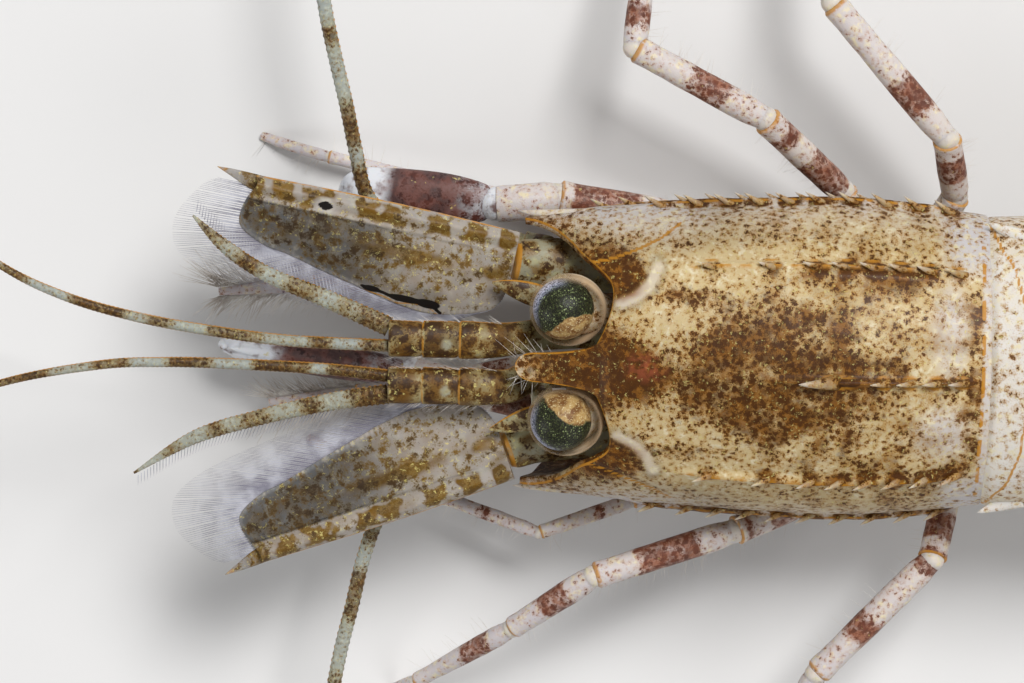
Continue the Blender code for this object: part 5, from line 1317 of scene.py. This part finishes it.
def abdomen():
    """The six rings of the abdomen, each tucked under the one before it, and its side plates."""
    inner = np.array((0.99, 0.96, 0.9, 0.7, 0.5, 0.3, 0.15, 0.0))
    share, part, side = section(np.linspace(0, 1, 84), inner, 2.0)
    under = part < 2
    reach = np.unique([*np.linspace(0, 1, 72), 0.005, 0.01, 0.985, 0.993])[:, None]
    middle = np.abs(2 * reach - 1)
    turn = np.clip(share / WIDEST_AT, 0, 1) * np.pi / 2
    down = np.clip((share - WIDEST_AT) / (1 - WIDEST_AT), 0, 1)
    for number in range(1, SEGMENTS + 1):
        first = number - 1
        ahead, behind = over_at(first, share), over_at(number, share)
        start = ABDOMEN_BOUNDS[first] + lean(first, share) - 0.1 - 0.7 * ahead
        tucked = 0.5 if number == SEGMENTS else 0.25
        end = ABDOMEN_BOUNDS[number] + lean(number, share) + 0.6 - tucked * behind
        x = start * (1 - reach) + end * reach
        crest, wide, widest, edge, belly = between(ABDOMEN, x)
        foot = edge + PLEURA_RISE * middle**3
        y = np.where(share <= WIDEST_AT, wide * np.sin(turn), wide - 0.5 * down**2)
        z = widest + np.where(share <= WIDEST_AT, (crest - widest) * np.cos(turn), (foot - widest) * down)
        hem = wide - 0.5 - PLEURA_THICK
        rib = hump(reach, 0.5, 0.1) + 0.5 * hump(reach, 0.9, 0.05)
        hollow = 0.35 * (1 - part**2) * (middle < 0.9)
        belly_z = np.maximum(edge + belly, foot + 0.1) - 0.3 * rib + hollow
        y = np.where(under, np.where(part > 0.97, hem + PLEURA_THICK * 0.5, hem * part), y)
        z = np.where(under, np.where(part > 0.95, foot + 0.02, belly_z), z)
        body = np.stack([x, y * side, z], axis=-1)
        out = unit(np.stack([0 * x, y * side, z - widest], axis=-1))
        at, height = ABDOMEN_KEELS[first]
        ridge = height * np.clip(1 - np.abs(share - at) / 0.03, 0, 1)
        ridge = ridge * ease(0.05, 0.2, reach) * fall(0.9, 0.97, reach)
        tuck = (0.24 if first else 0.14) * ahead * fall(0.06, 0.12, reach)
        tuck = tuck + 0.24 * (1 - behind) * ease(0.88, 0.94, reach)
        lip = 0.07 * behind * ease(0.93, 0.97, reach) + 0.05 * (1 - ahead) * fall(0.03, 0.07, reach)
        shrink = 0.3 * fall(0.0, 0.006, reach) + 0.25 * ease(0.99, 1.0, reach)
        if number == SEGMENTS:
            shrink = shrink + 1.5 * (1 - np.sqrt(1 - np.clip((reach - 0.88) / 0.121, 0, 1) ** 2))
        body += out * ((ridge + lip + 0.03 * rough(body, 1.5, 2) - tuck - shrink) * ~under)[..., None]
        marks = ring_marks(number, body, x, y, reach, share)
        shape = Shape()
        if number == 1:
            for way, _ in SIDES:
                shape.horn(*on_side(HINGE_SPINE, way), 0.5, 0.0, 0.5, 12, brown=0.05, lilac=0.9,
                           gold=0.3 * ease(0.3, 0.7, np.linspace(0, 1, 9)))
        shape.skin(body, **{name: np.where(under, UNDERSIDE[name], mark) for name, mark in marks.items()})
        shape.make(f"abdomen_shell_{number}", RINGS, "shell", f"abdomen_{number}")


def leaf(shape, root, along, across, length, width, thick, drop=None, ribs=(0.0,), **marks):
    """A thin leaf with raised ribs, and drop for its middle's height. Returns its middle and half width."""
    t = np.linspace(0, 1, LEAF_STEPS)
    half = width / 2 * between(LEAF_SHAPE, t)[0] * np.sqrt(np.clip((1 - t) / 0.05, 0, 1)) * 0.93
    middle = root + along * (length * t)[:, None]
    if drop is not None:
        middle[:, 2] = drop(t)
    normal = unit(np.cross(along, across))
    normal *= np.sign(normal[2])
    c, s = circle(48, 0)
    relief = sum(0.35 * hump(c, rib, 0.09) for rib in ribs) * (s > 0)
    thin = np.sqrt(np.clip((1 - t) / 0.06, 0.05, 1))[:, None]
    high = thick * (np.sign(s) * np.abs(s) ** 0.5 + relief) * thin
    points = middle[:, None] + across * (half[:, None] * c)[..., None] + normal * high[..., None]
    shape.skin(points, gold=0.6 * ease(0.97, 0.995, np.abs(c))[None], **marks)
    return middle, half


def leaf_fringe(shape, middle, half, along, across, length, count):
    """Bristles round a leaf's rim, from a third of its length on."""
    share = np.linspace(0.25, 1, count)
    pick = np.minimum((share * (len(middle) - 1)).astype(int), len(middle) - 2)
    for way in (1, -1):
        roots = middle[pick] + across * (way * half[pick] * 0.96)[:, None]
        aims = along * (0.9 + share[:, None]) + across * way * (1 - 0.6 * share[:, None])
        shape.hairs(roots, aims, length, 0.03, 0.0, 4)
    end = np.linspace(-1, 1, 15)
    roots = middle[-2] + across * (end * half[-3])[:, None]
    shape.hairs(roots, along + across * end[:, None] * 0.5, length, 0.03, 0.0, 4)


def swimmerets():
    """The paddles under the abdomen: a stalk with an outer and an inner blade, edged with bristles."""
    along, across = unit((0.94, 0, -0.34)), np.array((0.0, 1.0, 0.0))
    for number, length in enumerate(SWIMMERET_LENGTH, 1):
        x = (ABDOMEN_BOUNDS[number - 1] + ABDOMEN_BOUNDS[number]) / 2 - 0.6
        _, wide, _, edge, belly = (float(v) for v in between(ABDOMEN, np.array(x)))
        top = edge + belly
        for side, name in SIDES:
            y = side * wide * 0.42
            foot = np.array((x + 0.3, y, top - GAP - SWIMMERET_DROP))
            stalk = route(((x, y, top + 0.1, 0.45), (x + 0.1, y, top - 0.8, 0.5), (*foot, 0.36)), 0.08)
            shape, hairs = Shape(), Shape()
            shape.tube(stalk, 20, 1.0, (1, 0, 0), brown=0.3, lilac=0.7)
            for way, long, wide_share in ((side, 0.86, 0.56), (-side, 0.74, 0.46)):
                aim = unit(along + across * way * 0.13)
                root = foot - along * 0.25 + across * way * 0.3
                rim = leaf(shape, root, aim, across, length * long, SWIMMERET_WIDTH * wide_share, 0.14,
                           brown=0.05, lilac=0.7)
                leaf_fringe(hairs, *rim, aim, across, 0.7, 26)
            shape.make(f"swimmeret_skin_{number}_{name}", BLADE, "clear", f"swimmeret_{number}_{name}")
            hairs.make(f"swimmeret_hairs_{number}_{name}", BRISTLE, "clear")


def telson():
    """The middle blade of the tail, with its groove and its pairs of spines."""
    x = np.linspace(TELSON[0][0] - 0.5, TELSON[-1][0], 90)[:, None]
    half, middle, thick = between(TELSON, x)
    c, s = circle(48, 0)
    shut = np.sqrt(np.clip((x[-1] - x) / 0.35, 0.02, 1))
    groove = 0.3 * hump(c, 0, 0.22) * (s > 0)
    z = middle + thick * shut * (s * (1 - groove) + 0.2 * np.abs(c) * (s > 0))
    shape = Shape()
    body = np.stack([x + 0 * z, half * c * shut**0.5, z], axis=-1)
    shape.skin(body, brown=0.4 + 0.3 * blob(x, 0, (73.5, 0), (2.2, 1)), lilac=0.45,
               gold=0.5 * ease(0.96, 0.99, np.abs(c))[None])
    end_x, _, end_z, _ = TELSON[-1]
    for way in (1, -1):
        shape.horn((end_x - 0.5, way * 0.25, end_z), (end_x + 0.85, way * 0.42, end_z), 0.15, pale=0.8)
        for at in TELSON_SPINES:
            wide, high, _ = (float(v) for v in between(TELSON, np.array(at)))
            foot, tip = (at - 0.3, wide - 0.15, high + 0.1), (at + 0.5, wide + 0.12, high + 0.12)
            shape.horn(*on_side((foot, tip), way), 0.1)
    shape.make("telson_skin", RINGS, "shell", "telson")


def tail():
    """The telson and the four blades of the tail fan, with ribs, spines and a fringe."""
    telson()
    end_x, _, end_z, _ = TELSON[-1]
    hairs = Shape()
    roots = np.array([(end_x - 0.15, y, end_z) for y in np.linspace(-0.3, 0.3, 8)])
    hairs.hairs(roots, [(1, y * 0.5, 0) for y in roots[:, 1]], 1.0, 0.03)
    t = np.linspace(0, 1, LEAF_STEPS)[:, None]
    cloudy = 0.28 + 0.4 * ease(0.4, 0.65, t) * fall(0.82, 0.95, t)
    for side, name in SIDES:
        for kind, (splay, width, root, low, ribs) in FAN.items():
            angle = math.radians(splay)
            along = np.array((math.cos(angle), side * math.sin(angle), 0.0))
            across = np.array((-math.sin(angle), side * math.cos(angle), 0.0))
            blade = Shape()
            if kind == "outer":
                blade.tube(route(on_side(FAN_BLOCK, side), 0.08), 28, 0.8, brown=0.4, lilac=0.5)

            def drop(t, start=root[2], end=low):
                return start + (end - start) * ease(0, 0.35, t)

            base = on_side(root, side)
            middle, half = leaf(blade, base, along, across, FAN_LENGTH, width, 0.17, drop, ribs, brown=cloudy,
                                lilac=0.5)
            leaf_fringe(hairs, middle, half, along, across, 0.75, 60)
            if kind == "outer":
                tip = middle[48] + across * half[48] * 0.92
                blade.horn(tip - along * 1.2, tip + along * 0.55, 0.16, 0, 0.8, pale=0.7)
            blade.make(f"tail_{kind}_skin_{name}", BLADE, "clear", f"tail_{kind}_{name}")
    hairs.make("tail_hairs", BRISTLE, "clear")


def body_hairs():
    """Setae round the rostrum and eyes, along the short feelers, and on the walking legs."""
    draw = random.Random(SEEDS["hairs"])
    shape = Shape()
    for side, _ in SIDES:
        roots = [(draw.uniform(0.0, 1.6), side * draw.uniform(0.2, 0.55), 11.2) for _ in range(16)]
        aims = [(draw.uniform(-1, 0.1), side * draw.uniform(0.2, 1), draw.uniform(-0.5, 0.4)) for _ in roots]
        shape.hairs(roots, aims, [draw.uniform(0.5, 1.3) for _ in roots], 0.014)
        for off, z, count, spread, rise, longest in STALK_HAIRS:
            y = ANTENNULE_MIDLINE + side * (ANTENNULE_APART + off)
            roots = [(draw.uniform(-5.2, -0.6), y, z) for _ in range(count)]
            aims = [(-1, side * draw.uniform(*spread), draw.uniform(*rise)) for _ in roots]
            shape.hairs(roots, aims, [draw.uniform(0.3, longest) for _ in roots], 0.012)
    shape.make("head_hairs", PALE_BRISTLE, "limb")
    shape = Shape()
    for key in ("leg4_right", "leg4_left", "leg5_right", "leg5_left", "leg3_right", "leg3_left"):
        joints = np.array(LIMBS[key])
        for i, (a, b) in enumerate(zip(joints[1:-1], joints[2:])):
            count = 34 if i == 1 and key.startswith("leg4") else 14
            ahead = unit((b - a)[:3])
            rear = unit(np.cross(ahead, UP))
            if rear[0] >= 0 and not key.startswith("leg4"):
                rear = -rear
            share = np.sort([draw.uniform(0.08, 0.95) for _ in range(count)])[:, None]
            tilt = [[draw.uniform(-0.4, 0.4) for _ in range(3)] for _ in range(count)]
            aims = rear * draw.choice((1, -1)) + ahead * 0.3 + tilt
            lengths = [a[3] + draw.uniform(0.35, 0.9) for _ in range(count)]
            shape.hairs(a[:3] + (b - a)[:3] * share, aims, lengths, 0.014, 0.1)
    shape.make("leg_hairs", PALE_BRISTLE, "limb")


def stage():
    """A plain pale floor, soft studio light and the camera at the photograph's angle."""
    bpy.ops.mesh.primitive_plane_add(size=FLOOR_SIZE)
    floor = bpy.context.object
    floor.name = "floor"
    g = Graph("floor")
    tone = g.mix(g.noise(30, 2)["Fac"], (0.70, 0.69, 0.68), (0.74, 0.73, 0.72))
    floor.data.materials.append(g.finish(Base_Color=tone, Roughness=0.7))
    scene = bpy.context.scene
    for name, place, size, power in LIGHTS:
        data = bpy.data.lights.new(name, "AREA")
        data.size, data.energy = size, power
        lamp = bpy.data.objects.new(name, data)
        lamp.location = place
        lamp.rotation_euler = Vector(place).to_track_quat("Z", "Y").to_euler()
        scene.collection.objects.link(lamp)
    scene.world = bpy.data.worlds.new("studio")
    scene.world.use_nodes = True
    sky = scene.world.node_tree.nodes["Background"].inputs
    sky["Color"].default_value = (0.95, 0.97, 1.0, 1)
    sky["Strength"].default_value = SKY_POWER
    scene.view_settings.view_transform = "Standard"
    pixel = PIXEL * MM
    lean_sin, lean_cos = math.sin(CAMERA_TILT), math.cos(CAMERA_TILT)
    roll_sin, roll_cos = math.sin(CAMERA_ROLL), math.cos(CAMERA_ROLL)
    flat, steep, back = Vector((1, 0, 0)), Vector((0, lean_cos, -lean_sin)), Vector((0, lean_sin, lean_cos))
    right, up = flat * roll_cos + steep * roll_sin, steep * roll_cos - flat * roll_sin
    aim = Vector(SHIFT) + Vector((0, 0, TIP_HEIGHT * MM))
    aim -= right * (TIP_PIXEL[0] - PHOTO_SIZE[0] / 2) * pixel
    aim += up * (TIP_PIXEL[1] - PHOTO_SIZE[1] / 2) * pixel
    data = bpy.data.cameras.new("camera")
    data.sensor_width = SENSOR_WIDTH
    data.lens = SENSOR_WIDTH * CAMERA_AWAY * MM / (PHOTO_SIZE[0] * pixel)
    data.clip_start, data.clip_end = 0.01, 5
    camera = bpy.data.objects.new("camera", data)
    turned = Matrix((right, up, back)).transposed().to_4x4()
    camera.matrix_world = Matrix.Translation(aim + back * CAMERA_AWAY * MM) @ turned
    scene.collection.objects.link(camera)
    scene.camera = camera


carapace()
eyes()
abdomen()
antennules()
antenna_scales()
antenna_bases()
maxillipeds()
legs()
hands()
underside()
swimmerets()
tail()
body_hairs()
stage()
